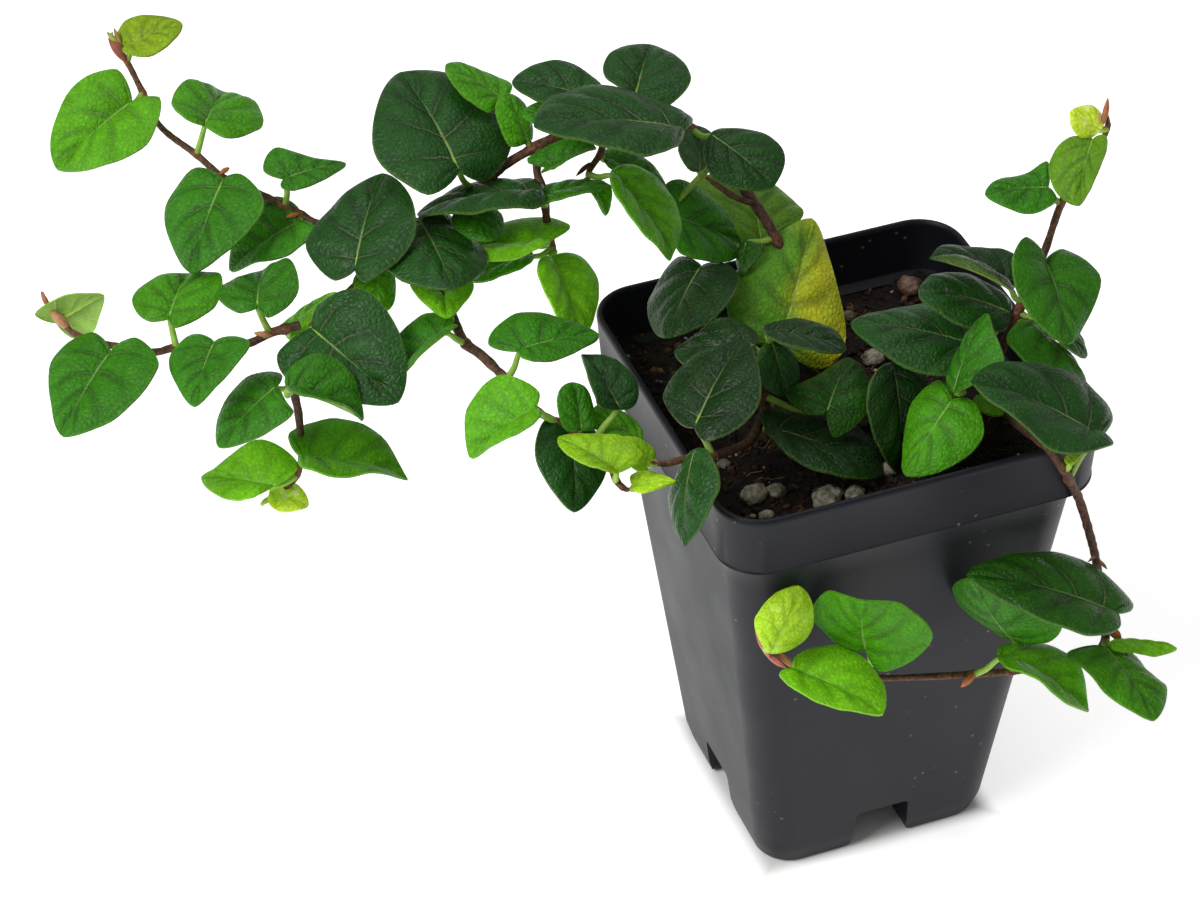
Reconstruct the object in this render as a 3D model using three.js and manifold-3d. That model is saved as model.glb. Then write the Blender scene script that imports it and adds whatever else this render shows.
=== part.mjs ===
// Potted creeping fig: a square nursery pot of soil, and leafy stems that arch out over its rim.
// Millimetres, +Z up. The pot stands on z = 0, its middle at x = y = 0, and its front wall faces -Y.
import * as THREE from "three";
import { mergeVertices } from "three/addons/utils/BufferGeometryUtils.js";
import Module from "manifold-3d";

const wasm = await Module();
wasm.setup();

// Pot
const POT_HEIGHT = 87;
const RIM_HALF = 32; // half the width across the rim's outside
const RIM_CORNER = 7.7;
const COLLAR_HEIGHT = 11;
const COLLAR_HALF = 31.3; // half width at the collar's lower edge
const BODY_TOP_HALF = 29.5;
const BODY_TOP_CORNER = 7.3;
const BODY_FOOT_HALF = 20.6;
const BODY_FOOT_CORNER = 5.9;
const FOOT_HEIGHT = 3.3; // below this the walls turn in to the sole
const SOLE_HALF = 19.7;
const WALL = 1.2;
const CORNER_STEPS = 4;

// The cut in the foot of each wall
const NOTCH_SOLE_WIDTH = 10;
const NOTCH_TOP_WIDTH = 9.4;
const NOTCH_HEIGHT = 8.6;
const NOTCH_DEPTH = 9;

// Soil and the pale grains in it
const SOIL_LEVEL = 77.6;
const SOIL_ROUGHNESS = 2.2;
const GAP = 0.3; // clearance between neighbouring pieces
const ROOT_DEPTH = 9;
const HOLE_RADIUS = 1.7;

// Plant
const STEPS_PER_POINT = 1.2; // straight pieces of a stem for each point of its path
const BLADE_THICKNESS = 0.75;
const PETIOLE_RADIUS = 0.5;
const BLADE_ARCH = 0.05; // rise of the midrib, as a share of the blade's length
const BLADE_DOME = 0.03; // rise of the flesh between midrib and margin, the same way
const USUAL_REACH = 3; // how far a blade's base stands from its stem towards the viewer
const USUAL_RATIO = 0.44; // half width of a blade over its length
const USUAL_SHARPNESS = 0.3; // of a blade's tip: 0 is round, 1 has straight sides
const NOTCH_TURN = 0.3; // how strongly the margin turns back from the base, in blade lengths
const SLIVER = 0.03; // facets that lie nearer than this to one plane are joined
const SPECK = 0.01; // mm3 left loose where pieces cross
const WIDEST_AT = 0.3; // where along its length a blade is widest

// The points that describe either side of a blade: x in half widths, y in blade lengths.
const LOBE = [0.7, -0.07];
const SIDE = [0.98, 0.28];
const SHOULDER = [0.72, 0.7];
const MARGIN_STOPS = [0, 0.12, 0.27, 0.46, 0.68, 0.87]; // where each side's margin is sampled
const SMALL_LENGTH = 13; // below this a blade has a coarser margin and a plain surface
const SMALL_STOPS = [0, 0.14, 0.34, 0.58, 0.84];

// The plant is placed by where each piece is seen in the reference picture, 1200 by 913 pixels.
const VIEW_EYE = new THREE.Vector3(-196.7, -432.0, 452.8);
const VIEW_AZIMUTH = THREE.MathUtils.degToRad(-19.81);
const VIEW_ELEVATION = THREE.MathUtils.degToRad(39.06);
const VIEW_ROLL = THREE.MathUtils.degToRad(-1.17);
const VIEW_FOCAL = 3792.2;
const VIEW_MIDDLE = [600, 456.5];

const towardsViewer = new THREE.Vector3(
  Math.sin(VIEW_AZIMUTH) * Math.cos(VIEW_ELEVATION),
  -Math.cos(VIEW_AZIMUTH) * Math.cos(VIEW_ELEVATION),
  Math.sin(VIEW_ELEVATION),
);
const pictureRight = new THREE.Vector3(Math.cos(VIEW_AZIMUTH), Math.sin(VIEW_AZIMUTH), 0);
pictureRight.applyAxisAngle(towardsViewer, VIEW_ROLL);
const pictureUp = towardsViewer.clone().cross(pictureRight);

function lineOfSight([u, v]) {
  return towardsViewer
    .clone()
    .negate()
    .addScaledVector(pictureRight, (u - VIEW_MIDDLE[0]) / VIEW_FOCAL)
    .addScaledVector(pictureUp, (VIEW_MIDDLE[1] - v) / VIEW_FOCAL);
}

function atDepth(pixel, depth) {
  return VIEW_EYE.clone().addScaledVector(lineOfSight(pixel), depth);
}

function atHeight([u, v, height]) {
  return atDepth([u, v], (height - VIEW_EYE.z) / lineOfSight([u, v]).z);
}

function depthOf(point) {
  return VIEW_EYE.clone().sub(point).dot(towardsViewer);
}

function pixelOf(point) {
  const offset = point.clone().sub(VIEW_EYE);
  const scale = VIEW_FOCAL / depthOf(point);
  return [
    VIEW_MIDDLE[0] + scale * offset.dot(pictureRight),
    VIEW_MIDDLE[1] - scale * offset.dot(pictureUp),
  ];
}

// A repeatable value between -0.5 and 0.5 for each pair of numbers.
function scatter(a, b = 0) {
  const s = Math.sin(a * 127.1 + b * 311.7) * 43758.5453;
  return s - Math.floor(s) - 0.5;
}

function solidOf(geometry) {
  geometry.deleteAttribute("normal");
  geometry.deleteAttribute("uv");
  const merged = mergeVertices(geometry, 1e-4);
  const corners = merged.index.array;
  const kept = [];
  for (let i = 0; i < corners.length; i += 3) {
    const [a, b, c] = corners.slice(i, i + 3);
    if (a !== b && b !== c && a !== c) kept.push(a, b, c);
  }
  return new wasm.Manifold(
    new wasm.Mesh({
      numProp: 3,
      vertProperties: merged.attributes.position.array,
      triVerts: new Uint32Array(kept),
    }),
  );
}

function meshOf(name, solid, color, roughness) {
  const { numProp, numVert, vertProperties, triVerts } = solid.getMesh();
  const points = new Float32Array(numVert * 3);
  for (let i = 0; i < numVert; i++) {
    points.set(vertProperties.subarray(i * numProp, i * numProp + 3), i * 3);
  }
  const geometry = new THREE.BufferGeometry();
  geometry.setAttribute("position", new THREE.BufferAttribute(points, 3));
  geometry.setIndex(new THREE.BufferAttribute(triVerts, 1));
  const faceted = geometry.toNonIndexed();
  faceted.computeVertexNormals();
  const material = new THREE.MeshStandardMaterial({ color, roughness, metalness: 0 });
  const mesh = new THREE.Mesh(faceted, material);
  mesh.name = name;
  return mesh;
}

// A square tower with rounded corners. Each level is [half width, corner radius, height], and the
// first and last are points on the axis. `rise` lifts single points of a level.
function squareTower(levels, rise = () => 0) {
  const around = 4 * (CORNER_STEPS + 1);
  const profile = levels.map(([half, , height]) => new THREE.Vector2(half, height));
  const geometry = new THREE.LatheGeometry(profile, around);
  for (let i = 0; i <= around; i++) {
    const place = i % around;
    const corner = Math.floor(place / (CORNER_STEPS + 1));
    const turn = (corner + (place % (CORNER_STEPS + 1)) / CORNER_STEPS) * (Math.PI / 2);
    const sideX = corner === 0 || corner === 3 ? 1 : -1;
    const sideY = corner < 2 ? 1 : -1;
    levels.forEach(([half, radius, height], j) => {
      const flat = half - radius;
      const x = sideX * flat + radius * Math.cos(turn);
      const y = sideY * flat + radius * Math.sin(turn);
      const z = height + rise(half === 0 ? 0 : place, j);
      geometry.attributes.position.setXYZ(i * levels.length + j, half && x, half && y, z);
    });
  }
  return solidOf(geometry);
}

// The pot's outside moved inwards by `inset`, from `floor` up to `top`.
function potCore(inset, floor, top) {
  const bodyTop = POT_HEIGHT - COLLAR_HEIGHT;
  const shareOf = (height) => (height - FOOT_HEIGHT) / (bodyTop - FOOT_HEIGHT);
  const halfAt = (height) => THREE.MathUtils.lerp(BODY_FOOT_HALF, BODY_TOP_HALF, shareOf(height));
  const cornerAt = (height) =>
    THREE.MathUtils.lerp(BODY_FOOT_CORNER, BODY_TOP_CORNER, shareOf(height));
  const level = (half, corner, height) => [half - inset, corner - inset, height];
  return [
    [0, 0, floor],
    level(halfAt(floor), cornerAt(floor), floor),
    level(BODY_TOP_HALF, BODY_TOP_CORNER, bodyTop + inset),
    level(COLLAR_HALF, BODY_TOP_CORNER, bodyTop + inset + 0.9),
    level(RIM_HALF, RIM_CORNER, top),
  ];
}

// The four notch blocks, grown on every side by `grown`.
function notches(grown) {
  const shape = new THREE.Shape();
  const slope = (NOTCH_SOLE_WIDTH - NOTCH_TOP_WIDTH) / NOTCH_HEIGHT / 2;
  const soleHalf = NOTCH_SOLE_WIDTH / 2 + grown + slope * 2;
  const topHalf = NOTCH_TOP_WIDTH / 2 + grown - slope * grown;
  shape.moveTo(-soleHalf, -2);
  shape.lineTo(soleHalf, -2);
  shape.lineTo(topHalf, NOTCH_HEIGHT + grown);
  shape.lineTo(-topHalf, NOTCH_HEIGHT + grown);
  const geometry = new THREE.ExtrudeGeometry(shape, { depth: 20, bevelEnabled: false });
  geometry.rotateX(Math.PI / 2);
  geometry.translate(0, -(SOLE_HALF - NOTCH_DEPTH - grown), 0);
  const block = solidOf(geometry);
  return wasm.Manifold.union([0, 90, 180, 270].map((turn) => block.rotate([0, 0, turn])));
}

function makePot() {
  const outside = squareTower([
    [0, 0, 0],
    [SOLE_HALF, BODY_FOOT_CORNER, 0],
    [BODY_FOOT_HALF, BODY_FOOT_CORNER, FOOT_HEIGHT],
    [BODY_TOP_HALF, BODY_TOP_CORNER, POT_HEIGHT - COLLAR_HEIGHT - 0.9],
    [COLLAR_HALF, BODY_TOP_CORNER, POT_HEIGHT - COLLAR_HEIGHT],
    [RIM_HALF, RIM_CORNER, POT_HEIGHT - 0.6],
    [RIM_HALF - 0.3, RIM_CORNER, POT_HEIGHT],
    [0, 0, POT_HEIGHT],
  ]);
  const inside = squareTower([...potCore(WALL, WALL, POT_HEIGHT + 2), [0, 0, POT_HEIGHT + 2]]);
  return outside.subtract(notches(0)).subtract(inside.subtract(notches(WALL)));
}

// Pale grains and one lump of bark that lie in the soil's surface: [u, v] in the picture, their
// width in mm and their seed.
const GRAINS = [
  { at: [754, 494], width: 4.2 },
  { at: [776, 491], width: 3 },
  { at: [827, 498], width: 4.6 },
  { at: [766, 516], width: 2.4 },
  { at: [723, 464], width: 2 },
  { at: [855, 494], width: 3.2 },
  { at: [890, 469], width: 3 },
  { at: [872, 358], width: 3.6 },
  { at: [847, 316], width: 2.4 },
];
const BARK = { at: [910, 286], width: 4.2 };

function lump({ at, width }, grown = 0) {
  const geometry = new THREE.DodecahedronGeometry(1, 0);
  const points = geometry.attributes.position;
  const middle = atHeight([...at, SOIL_LEVEL + width * 0.2]);
  for (let i = 0; i < points.count; i++) {
    const p = new THREE.Vector3().fromBufferAttribute(points, i);
    const key = Math.round(p.x * 50) + Math.round(p.y * 50) * 3 + Math.round(p.z * 50) * 7;
    const swell = 1 + 0.28 * scatter(key, at[0]);
    p.multiply(new THREE.Vector3(1, 0.85, 0.72)).multiplyScalar((swell * width) / 2);
    p.setLength(p.length() + grown).add(middle);
    points.setXYZ(i, p.x, p.y, p.z);
  }
  return solidOf(geometry);
}

function makeSoil(stemFeet) {
  const core = potCore(WALL + GAP, WALL + GAP, POT_HEIGHT);
  const wallLevels = core.slice(0, 4);
  const share = (SOIL_LEVEL - wallLevels[3][2]) / (POT_HEIGHT - wallLevels[3][2]);
  const half = THREE.MathUtils.lerp(wallLevels[3][0], core[4][0], share);
  const rings = [1, 0.86, 0.66, 0.44, 0.2].map((size) => [
    half * size,
    (BODY_TOP_CORNER - WALL) * size,
    SOIL_LEVEL,
  ]);
  const levels = [...wallLevels, ...rings, [0, 0, SOIL_LEVEL]];
  const lift = (place, j) => (j >= wallLevels.length ? SOIL_ROUGHNESS * scatter(place, j) : 0);
  const bed = squareTower(levels, lift).subtract(notches(WALL + GAP));
  const holes = stemFeet.map((foot) =>
    solidOf(new THREE.CylinderGeometry(HOLE_RADIUS, HOLE_RADIUS, 2 * ROOT_DEPTH, 8))
      .rotate([90, 0, 0])
      .translate([foot.x, foot.y, foot.z - GAP]),
  );
  const dimples = [...GRAINS, BARK].map((grain) => lump(grain, GAP));
  return bed.subtract(wasm.Manifold.union([...holes, ...dimples]));
}

// A tapering stem or petiole along a curve, closed to a point at both ends.
function tapered(curve, steps, sides, startRadius, endRadius) {
  const geometry = new THREE.TubeGeometry(curve, steps, 1, sides, false);
  const points = geometry.attributes.position;
  for (let i = 0; i <= steps; i++) {
    const centre = curve.getPointAt(i / steps);
    const radius = THREE.MathUtils.lerp(startRadius, endRadius, i / steps);
    const closed = i === 0 || i === steps;
    for (let j = 0; j <= sides; j++) {
      const p = new THREE.Vector3().fromBufferAttribute(points, i * (sides + 1) + j);
      p.sub(centre).multiplyScalar(closed ? 0 : radius).add(centre);
      points.setXYZ(i * (sides + 1) + j, p.x, p.y, p.z);
    }
  }
  return solidOf(geometry);
}

// A rooted stem goes straight down from its first point into the soil.
function stemCurve({ path, rooted }) {
  const points = path.map(atHeight);
  const foot = points[0].clone().setZ(points[0].z - ROOT_DEPTH);
  return new THREE.CatmullRomCurve3(rooted ? [foot, ...points] : points, false, "centripetal");
}

function stemSteps({ path }) {
  return Math.round(path.length * STEPS_PER_POINT);
}

// Points along the straight pieces that a stem is made of.
function alongStem(stem) {
  const joints = stemCurve(stem).getSpacedPoints(stemSteps(stem));
  return joints
    .slice(1)
    .flatMap((joint, i) => [0, 0.25, 0.5, 0.75].map((t) => joints[i].clone().lerp(joint, t)));
}

// The point of the stems that is seen nearest to a pixel.
function nearestOnStems(stems, [u, v]) {
  const candidates = stems.flatMap(alongStem);
  const distance = (point) => {
    const [pu, pv] = pixelOf(point);
    return Math.hypot(pu - u, pv - v);
  };
  return candidates.reduce((best, point) => (distance(point) < distance(best) ? point : best));
}

// A blade is alike on both sides of its midrib. So where its base, its tip and its two sides are
// seen tells how it is turned in space, but for the choice of which end is nearer: the more level
// answer is taken unless `flip` is given. `under` marks a blade seen from below.
function placeBlade(pick, stemPoint) {
  const [base, lobe, side, shoulder, tip, shoulder2, side2, lobe2] = pick.outline;
  const pairs = [
    { seen: [lobe, lobe2], at: LOBE },
    { seen: [side, side2], at: SIDE },
    { seen: [shoulder, shoulder2], at: SHOULDER },
  ];
  const depth = depthOf(stemPoint) - (pick.near ?? USUAL_REACH);
  const scale = depth / VIEW_FOCAL;
  const inPlane = (from, to) =>
    new THREE.Vector2((to[0] - from[0]) * scale, (from[1] - to[1]) * scale);
  const along = inPlane(base, tip);
  const across = new THREE.Vector2();
  const spread = LOBE[0] + SIDE[0] + SHOULDER[0];
  for (const { seen } of pairs) across.add(inPlane(seen[0], seen[1]).divideScalar(2 * spread));

  // `tipNearer` and `sideNearer` are the parts of the axis and of the half width towards the viewer.
  const ratio = pick.ratio ?? USUAL_RATIO;
  const skew = along.dot(across);
  const spare = ratio ** 2 * along.lengthSq() - across.lengthSq();
  const root = Math.sqrt(spare ** 2 + 4 * ratio ** 2 * skew ** 2);
  const tipNearer = Math.sqrt(Math.max(root - spare, 1e-6)) / (Math.SQRT2 * ratio);
  const sideNearer = Math.abs(skew) > 1e-3 ? -skew / tipNearer : Math.sqrt(Math.max(spare, 0));
  const answers = [1, -1].map((sign) => {
    const from = atDepth(base, depth);
    const axis = atDepth(tip, depth - sign * tipNearer).sub(from);
    const span = pictureRight.clone().multiplyScalar(across.x);
    span.addScaledVector(pictureUp, across.y).addScaledVector(towardsViewer, sign * sideNearer);
    span.addScaledVector(axis, -span.dot(axis) / axis.lengthSq());
    const normal = axis.clone().cross(span).normalize();
    if (normal.dot(towardsViewer) > 0 === Boolean(pick.under)) normal.negate();
    const sideways = axis.clone().normalize().cross(normal);
    const turned = sideways.dot(span) < 0;
    return { base: from, axis, side: sideways, normal, half: span.length(), turned };
  });
  answers.sort((a, b) => b.normal.z - a.normal.z);
  const blade = answers[pick.flip ? 1 : 0];

  // How far the sides stand above the midrib's ends: the middle between a pair of side points is
  // off the midrib by a step along it and a step along the normal.
  const off = new THREE.Vector2();
  for (const { seen, at } of pairs) {
    const middle = [(seen[0][0] + seen[1][0]) / 2, (seen[0][1] + seen[1][1]) / 2];
    off.add(inPlane(base, middle).addScaledVector(along, -at[1]).divideScalar(pairs.length));
  }
  const upright = new THREE.Vector2(
    blade.normal.dot(pictureRight),
    blade.normal.dot(pictureUp),
  );
  const [aa, an, nn] = [along.lengthSq() * 1.3, along.dot(upright), upright.lengthSq() + 0.05];
  const lift = (off.dot(upright) * aa - off.dot(along) * an) / (aa * nn - an * an);
  const lifted = lift - 0.45 * BLADE_ARCH * blade.axis.length();
  blade.fold = THREE.MathUtils.clamp(lifted / (0.8 * blade.half), -0.35, 0.9);

  // The margin passes where it is seen, at the depth of the point it stands for. It leaves the
  // base backwards, to go round the lobe, and turns over the tip: bluntly, or sharply by `sharp`.
  const marginPoint = (pixel, [x, y]) => atDepth(pixel, depthOf(onBlade(blade, x, y)));
  const tipPoint = blade.base.clone().add(blade.axis);
  const sides = [1, -1].map((sign) => {
    const which = sign > 0 === blade.turned ? 0 : 1;
    return pairs.map(({ seen, at }) => marginPoint(seen[which], [sign * at[0], at[1]]));
  });
  blade.margins = sides.map((points, i) => {
    const before = points[0].clone().addScaledVector(blade.axis, NOTCH_TURN);
    const straightOn = tipPoint.clone().multiplyScalar(2).sub(points[2]);
    const after = sides[1 - i][2].clone().lerp(straightOn, pick.sharp ?? USUAL_SHARPNESS);
    const through = [before, blade.base, ...points, tipPoint, after];
    return new THREE.CatmullRomCurve3(through, false, "centripetal");
  });
  return blade;
}

// A point of one side's margin, t from 0 at the base to 1 at the tip. The curve has one point more
// at either end.
function marginAt(margin, t) {
  return margin.getPoint((1 + 4 * t) / 6);
}

function onBlade(blade, x, y) {
  const arch = 4 * BLADE_ARCH * y * (1 - y) * blade.axis.length();
  return blade.base
    .clone()
    .addScaledVector(blade.axis, y)
    .addScaledVector(blade.side, x * blade.half)
    .addScaledVector(blade.normal, arch + blade.fold * Math.abs(x) * blade.half);
}

// A blade as a thin body: centre, inner ring and margin on its upper face, the same below.
function bladeSolid(blade) {
  const [right, left] = blade.margins;
  const small = blade.axis.length() < SMALL_LENGTH;
  const stops = small ? SMALL_STOPS : MARGIN_STOPS;
  const shares = small ? [0, 1, 1, 0] : [0, 0.6, 1, 1, 0.6, 0];
  const outline = [
    ...stops.map((t) => marginAt(right, t)),
    ...stops.map((t) => marginAt(left, 1 - t)),
  ];
  const count = outline.length;
  const rings = shares.length - 1;
  const geometry = new THREE.SphereGeometry(1, count, rings);
  const centre = onBlade(blade, 0, WIDEST_AT);
  const dome = BLADE_DOME * blade.axis.length();
  const thickness = BLADE_THICKNESS * Math.sqrt(1 + blade.fold ** 2);
  shares.forEach((share, ring) => {
    const raised = 4 * share * (1 - share) * dome - (ring < shares.length / 2 ? 0 : thickness);
    for (let i = 0; i <= count; i++) {
      const p = centre.clone().lerp(outline[i % count], share).addScaledVector(blade.normal, raised);
      geometry.attributes.position.setXYZ(ring * (count + 1) + i, p.x, p.y, p.z);
    }
  });
  // The lower face is split along the same diagonals as the upper one.
  const corners = geometry.index.array;
  const lowest = 3 * count;
  for (let k = 5 * lowest; k < corners.length - lowest; k += 6) {
    const [a, b, d, , c] = corners.slice(k, k + 6);
    corners.set([a, b, c, a, c, d], k);
  }
  return solidOf(geometry);
}

function leafSolids(pick, stems) {
  const root = nearestOnStems(stems, pick.joins);
  const blade = placeBlade(pick, root);
  const within = blade.normal.clone().multiplyScalar(-BLADE_THICKNESS * 0.55);
  const neck = onBlade(blade, 0, 0.02).add(within);
  const sunk = onBlade(blade, 0, 0.2).add(within);
  const bend = root.clone().lerp(neck, 0.55);
  bend.addScaledVector(blade.normal, -0.12 * root.distanceTo(neck));
  const curve = new THREE.CatmullRomCurve3([root, bend, neck, sunk], false, "centripetal");
  return [bladeSolid(blade), tapered(curve, 4, 3, PETIOLE_RADIUS, PETIOLE_RADIUS)];
}

function makeSpray({ stems, leaves }) {
  const stalks = stems.map((stem) =>
    tapered(stemCurve(stem), stemSteps(stem), 5, stem.radii[0], stem.radii[1]),
  );
  const solids = leaves.flatMap((pick) => leafSolids(pick, stems));
  const joined = wasm.Manifold.union([...stalks, ...solids]).simplify(SLIVER);
  return wasm.Manifold.compose(joined.decompose().filter((body) => body.volume() > SPECK));
}

// The sprays. A stem's path is [u, v, height above the sole]; its radii are those at its two ends.
// A leaf's outline goes round it as seen: the notch at its base, then lobe, side and shoulder, its
// tip, and shoulder, side and lobe back. `joins` is where its petiole meets the stem, and `near` is
// how far its base stands from the stem towards the viewer. `sharp` is how pointed its tip is.
const SPRAYS = {
  vine_main: {
    colour: "#1f4a2a",
    stems: [
      {
        rooted: true,
        radii: [0.95, 0.7],
        path: [
          [796, 331, 79],
          [789, 290, 89],
          [775, 237, 98],
          [745, 190, 104],
          [722, 160, 109],
          [700, 136, 113],
          [680, 123, 115.5],
          [640, 121, 117.5],
          [600, 128, 118],
          [565, 134, 117.5],
          [545, 142, 117],
          [530, 150, 116],
          [505, 165, 114],
          [480, 187, 111.5],
          [430, 215, 107.5],
          [400, 240, 104.5],
          [370, 272, 102],
          [335, 305, 100],
          [308, 326, 98.5],
        ],
      },
      {
        radii: [0.55, 0.45],
        path: [
          [752, 203, 103],
          [735, 197, 104.5],
          [720, 187, 106],
          [700, 173, 108],
        ],
      },
      {
        radii: [0.7, 0.6],
        path: [
          [539, 146, 116.5],
          [537, 172, 113.5],
          [541, 185, 112],
          [545, 205, 108.5],
          [547, 222, 105.5],
          [551, 240, 102.5],
          [556, 256, 100],
        ],
      },
      {
        radii: [0.6, 0.5],
        path: [
          [604, 128, 118],
          [601, 152, 115],
          [589, 171, 112.5],
          [586, 184, 111],
        ],
      },
    ],
    leaves: [
      {
        outline: [[592, 98], [602, 86], [570, 62], [533, 65],
          [512, 81], [530, 96], [556, 105], [585, 112]],
        joins: [592, 129], near: 0,
      },
      {
        outline: [[683, 128], [690, 114], [600, 85], [552, 97],
          [534, 125], [580, 140], [645, 153], [676, 146]],
        joins: [668, 121], near: 14.5,
      },
      {
        outline: [[635, 96], [622, 88], [603, 70], [617, 48],
          [650, 44], [678, 57], [691, 80], [665, 105]],
        joins: [640, 121], near: 2,
      },
      {
        outline: [[711, 134], [722, 128], [762, 132], [785, 155],
          [774, 186], [745, 190], [713, 176], [704, 150]],
        joins: [694, 130], near: 5,
      },
      {
        outline: [[700, 171], [690, 170], [679, 150], [684, 132],
          [696, 125], [712, 133], [718, 150], [708, 165]],
        joins: [701, 173], near: 2,
      },
      {
        outline: [[664, 214], [668, 182], [698, 186], [730, 219],
          [744, 246], [733, 259], [700, 260], [678, 249]],
        joins: [722, 160], near: 2,
      },
      {
        outline: [[746, 241], [741, 241], [736, 256], [737, 268],
          [741, 276], [751, 265], [760, 251], [753, 242]],
        joins: [775, 240], near: 2,
      },
      {
        outline: [[701, 266], [678, 257], [649, 298], [652, 328],
          [668, 337], [708, 321], [738, 285], [728, 264]],
        joins: [781, 262], near: 4,
      },
      {
        outline: [[762, 248], [742, 238], [722, 213], [695, 182],
          [745, 170], [790, 197], [803, 216], [778, 233]],
        joins: [780, 262], near: -4,
      },
      {
        outline: [[780, 345], [745, 338], [727, 303], [759, 250],
          [812, 218], [832, 268], [846, 345], [822, 369]],
        joins: [796, 331], near: 15,
      },
      {
        outline: [[612, 172], [613, 183], [628, 212], [655, 243],
          [671, 260], [681, 228], [668, 188], [630, 164]],
        joins: [588, 173], near: 4, sharp: 0.8,
      },
      {
        outline: [[605, 158], [606, 149], [625, 147], [652, 163],
          [669, 194], [650, 192], [628, 180], [612, 168]],
        joins: [600, 155], near: -2.5,
      },
      {
        outline: [[590, 182], [588, 184], [595, 195], [601, 206],
          [607, 215], [611, 205], [612, 190], [603, 180]],
        joins: [587, 182], near: 1,
      },
      {
        outline: [[551, 166], [526, 160], [556, 142], [580, 138],
          [596, 147], [580, 151], [560, 163], [541, 172]],
        joins: [539, 150], near: 4,
      },
      {
        outline: [[459, 169], [428, 194], [377, 155], [377, 105],
          [400, 72], [465, 79], [512, 140], [484, 180]],
        joins: [478, 188], near: 8,
      },
      {
        outline: [[504, 100], [512, 84], [485, 72], [462, 62],
          [446, 64], [450, 78], [468, 98], [490, 112]],
        joins: [530, 150], near: -1,
      },
      {
        outline: [[528, 141], [533, 138], [531, 116], [519, 97],
          [505, 93], [497, 103], [500, 125], [512, 146]],
        joins: [532, 149], near: 1,
      },
      {
        outline: [[355, 268], [333, 279], [306, 245], [335, 202],
          [382, 173], [410, 196], [412, 240], [365, 281]],
        joins: [382, 260], near: 10.5,
      },
      {
        outline: [[540, 190], [541, 183], [500, 180], [450, 191],
          [417, 214], [452, 213], [500, 208], [541, 204]],
        joins: [541, 185], near: 4,
      },
      {
        outline: [[418, 218], [395, 224], [372, 243], [402, 280],
          [452, 288], [484, 270], [483, 248], [445, 212]],
        joins: [420, 222], near: 3,
      },
      {
        outline: [[470, 203], [458, 206], [452, 222], [468, 238],
          [490, 240], [502, 232], [502, 214], [482, 203]],
        joins: [468, 195], near: 0,
      },
      {
        outline: [[541, 198], [543, 186], [565, 181], [590, 179],
          [612, 186], [590, 191], [563, 197], [543, 204]],
        joins: [545, 203], near: 4,
      },
      {
        outline: [[540, 244], [570, 225], [530, 218], [468, 233],
          [446, 252], [472, 260], [512, 257], [549, 242]],
        joins: [550, 238], near: 5,
      },
      {
        outline: [[533, 254], [520, 247], [495, 258], [478, 268],
          [471, 281], [490, 279], [512, 270], [530, 262]],
        joins: [552, 246], near: 2,
      },
      {
        outline: [[552, 257], [540, 260], [543, 287], [562, 321],
          [579, 344], [593, 320], [600, 283], [578, 254]],
        joins: [555, 254],
      },
      {
        outline: [[312, 328], [318, 305], [365, 290], [405, 350],
          [398, 402], [350, 402], [292, 384], [277, 355]],
        joins: [314, 323], near: 4.2,
      },
      {
        outline: [[380, 268], [362, 268], [352, 284], [358, 303],
          [375, 315], [392, 306], [396, 290], [393, 272]],
        joins: [368, 276], near: 1,
      },
      {
        outline: [[560, 118], [565, 108], [540, 102], [528, 106],
          [522, 113], [530, 121], [545, 124], [562, 126]],
        joins: [565, 133], near: 2,
      },
    ],
  },
  spray_upper_left: {
    colour: "#2e7d1e",
    stems: [
      {
        radii: [0.7, 0.45],
        path: [
          [390, 236, 105],
          [355, 229, 105],
          [318, 224, 105.5],
          [300, 214, 106],
          [262, 195, 107.5],
          [224, 178, 109.5],
          [197, 155, 112],
          [160, 126, 115],
          [142, 91, 118],
          [127, 62, 120.5],
          [114, 44, 122.5],
          [112, 32, 124],
        ],
      },
    ],
    leaves: [
      {
        outline: [[128, 46], [116, 40], [125, 20], [158, 15],
          [182, 23], [170, 43], [145, 56], [122, 50]],
        joins: [127, 60], near: 1,
      },
      {
        outline: [[131, 102], [117, 69], [76, 84], [51, 135],
          [57, 169], [100, 166], [146, 142], [160, 98]],
        joins: [143, 93],
      },
      {
        outline: [[205, 124], [183, 116], [172, 99], [190, 79],
          [223, 91], [255, 101], [262, 126], [228, 136]],
        joins: [197, 154],
      },
      {
        outline: [[223, 180], [196, 168], [165, 206], [174, 251],
          [192, 273], [226, 251], [264, 207], [241, 174]],
        joins: [226, 179], near: 4,
      },
      {
        outline: [[299, 221], [297, 206], [275, 196], [244, 214],
          [229, 270], [255, 262], [290, 253], [315, 228]],
        joins: [303, 216], near: 1,
      },
      {
        outline: [[286, 178], [263, 168], [275, 148], [314, 158],
          [346, 163], [326, 177], [297, 189], [281, 186]],
        joins: [283, 206],
      },
    ],
  },
  spray_middle_left: {
    colour: "#2a6f22",
    stems: [
      {
        radii: [0.75, 0.45],
        path: [
          [300, 325, 98.5],
          [285, 329, 98],
          [270, 333, 97.5],
          [250, 343, 97],
          [215, 347, 96.5],
          [172, 348, 96],
          [157, 352, 96],
          [110, 345, 96.5],
          [75, 334, 97],
          [60, 320, 98],
          [48, 305, 99.5],
          [43, 292, 101],
        ],
      },
    ],
    leaves: [
      {
        outline: [[57, 322], [35, 314], [60, 297], [88, 293],
          [104, 295], [100, 315], [92, 332], [72, 336]],
        joins: [57, 316], near: -1, under: true,
      },
      {
        outline: [[110, 352], [92, 331], [53, 357], [51, 403],
          [63, 436], [118, 415], [158, 366], [136, 338]],
        joins: [118, 347],
      },
      {
        outline: [[169, 317], [150, 320], [132, 301], [157, 276],
          [187, 273], [221, 275], [213, 306], [174, 327]],
        joins: [174, 347],
      },
      {
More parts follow.
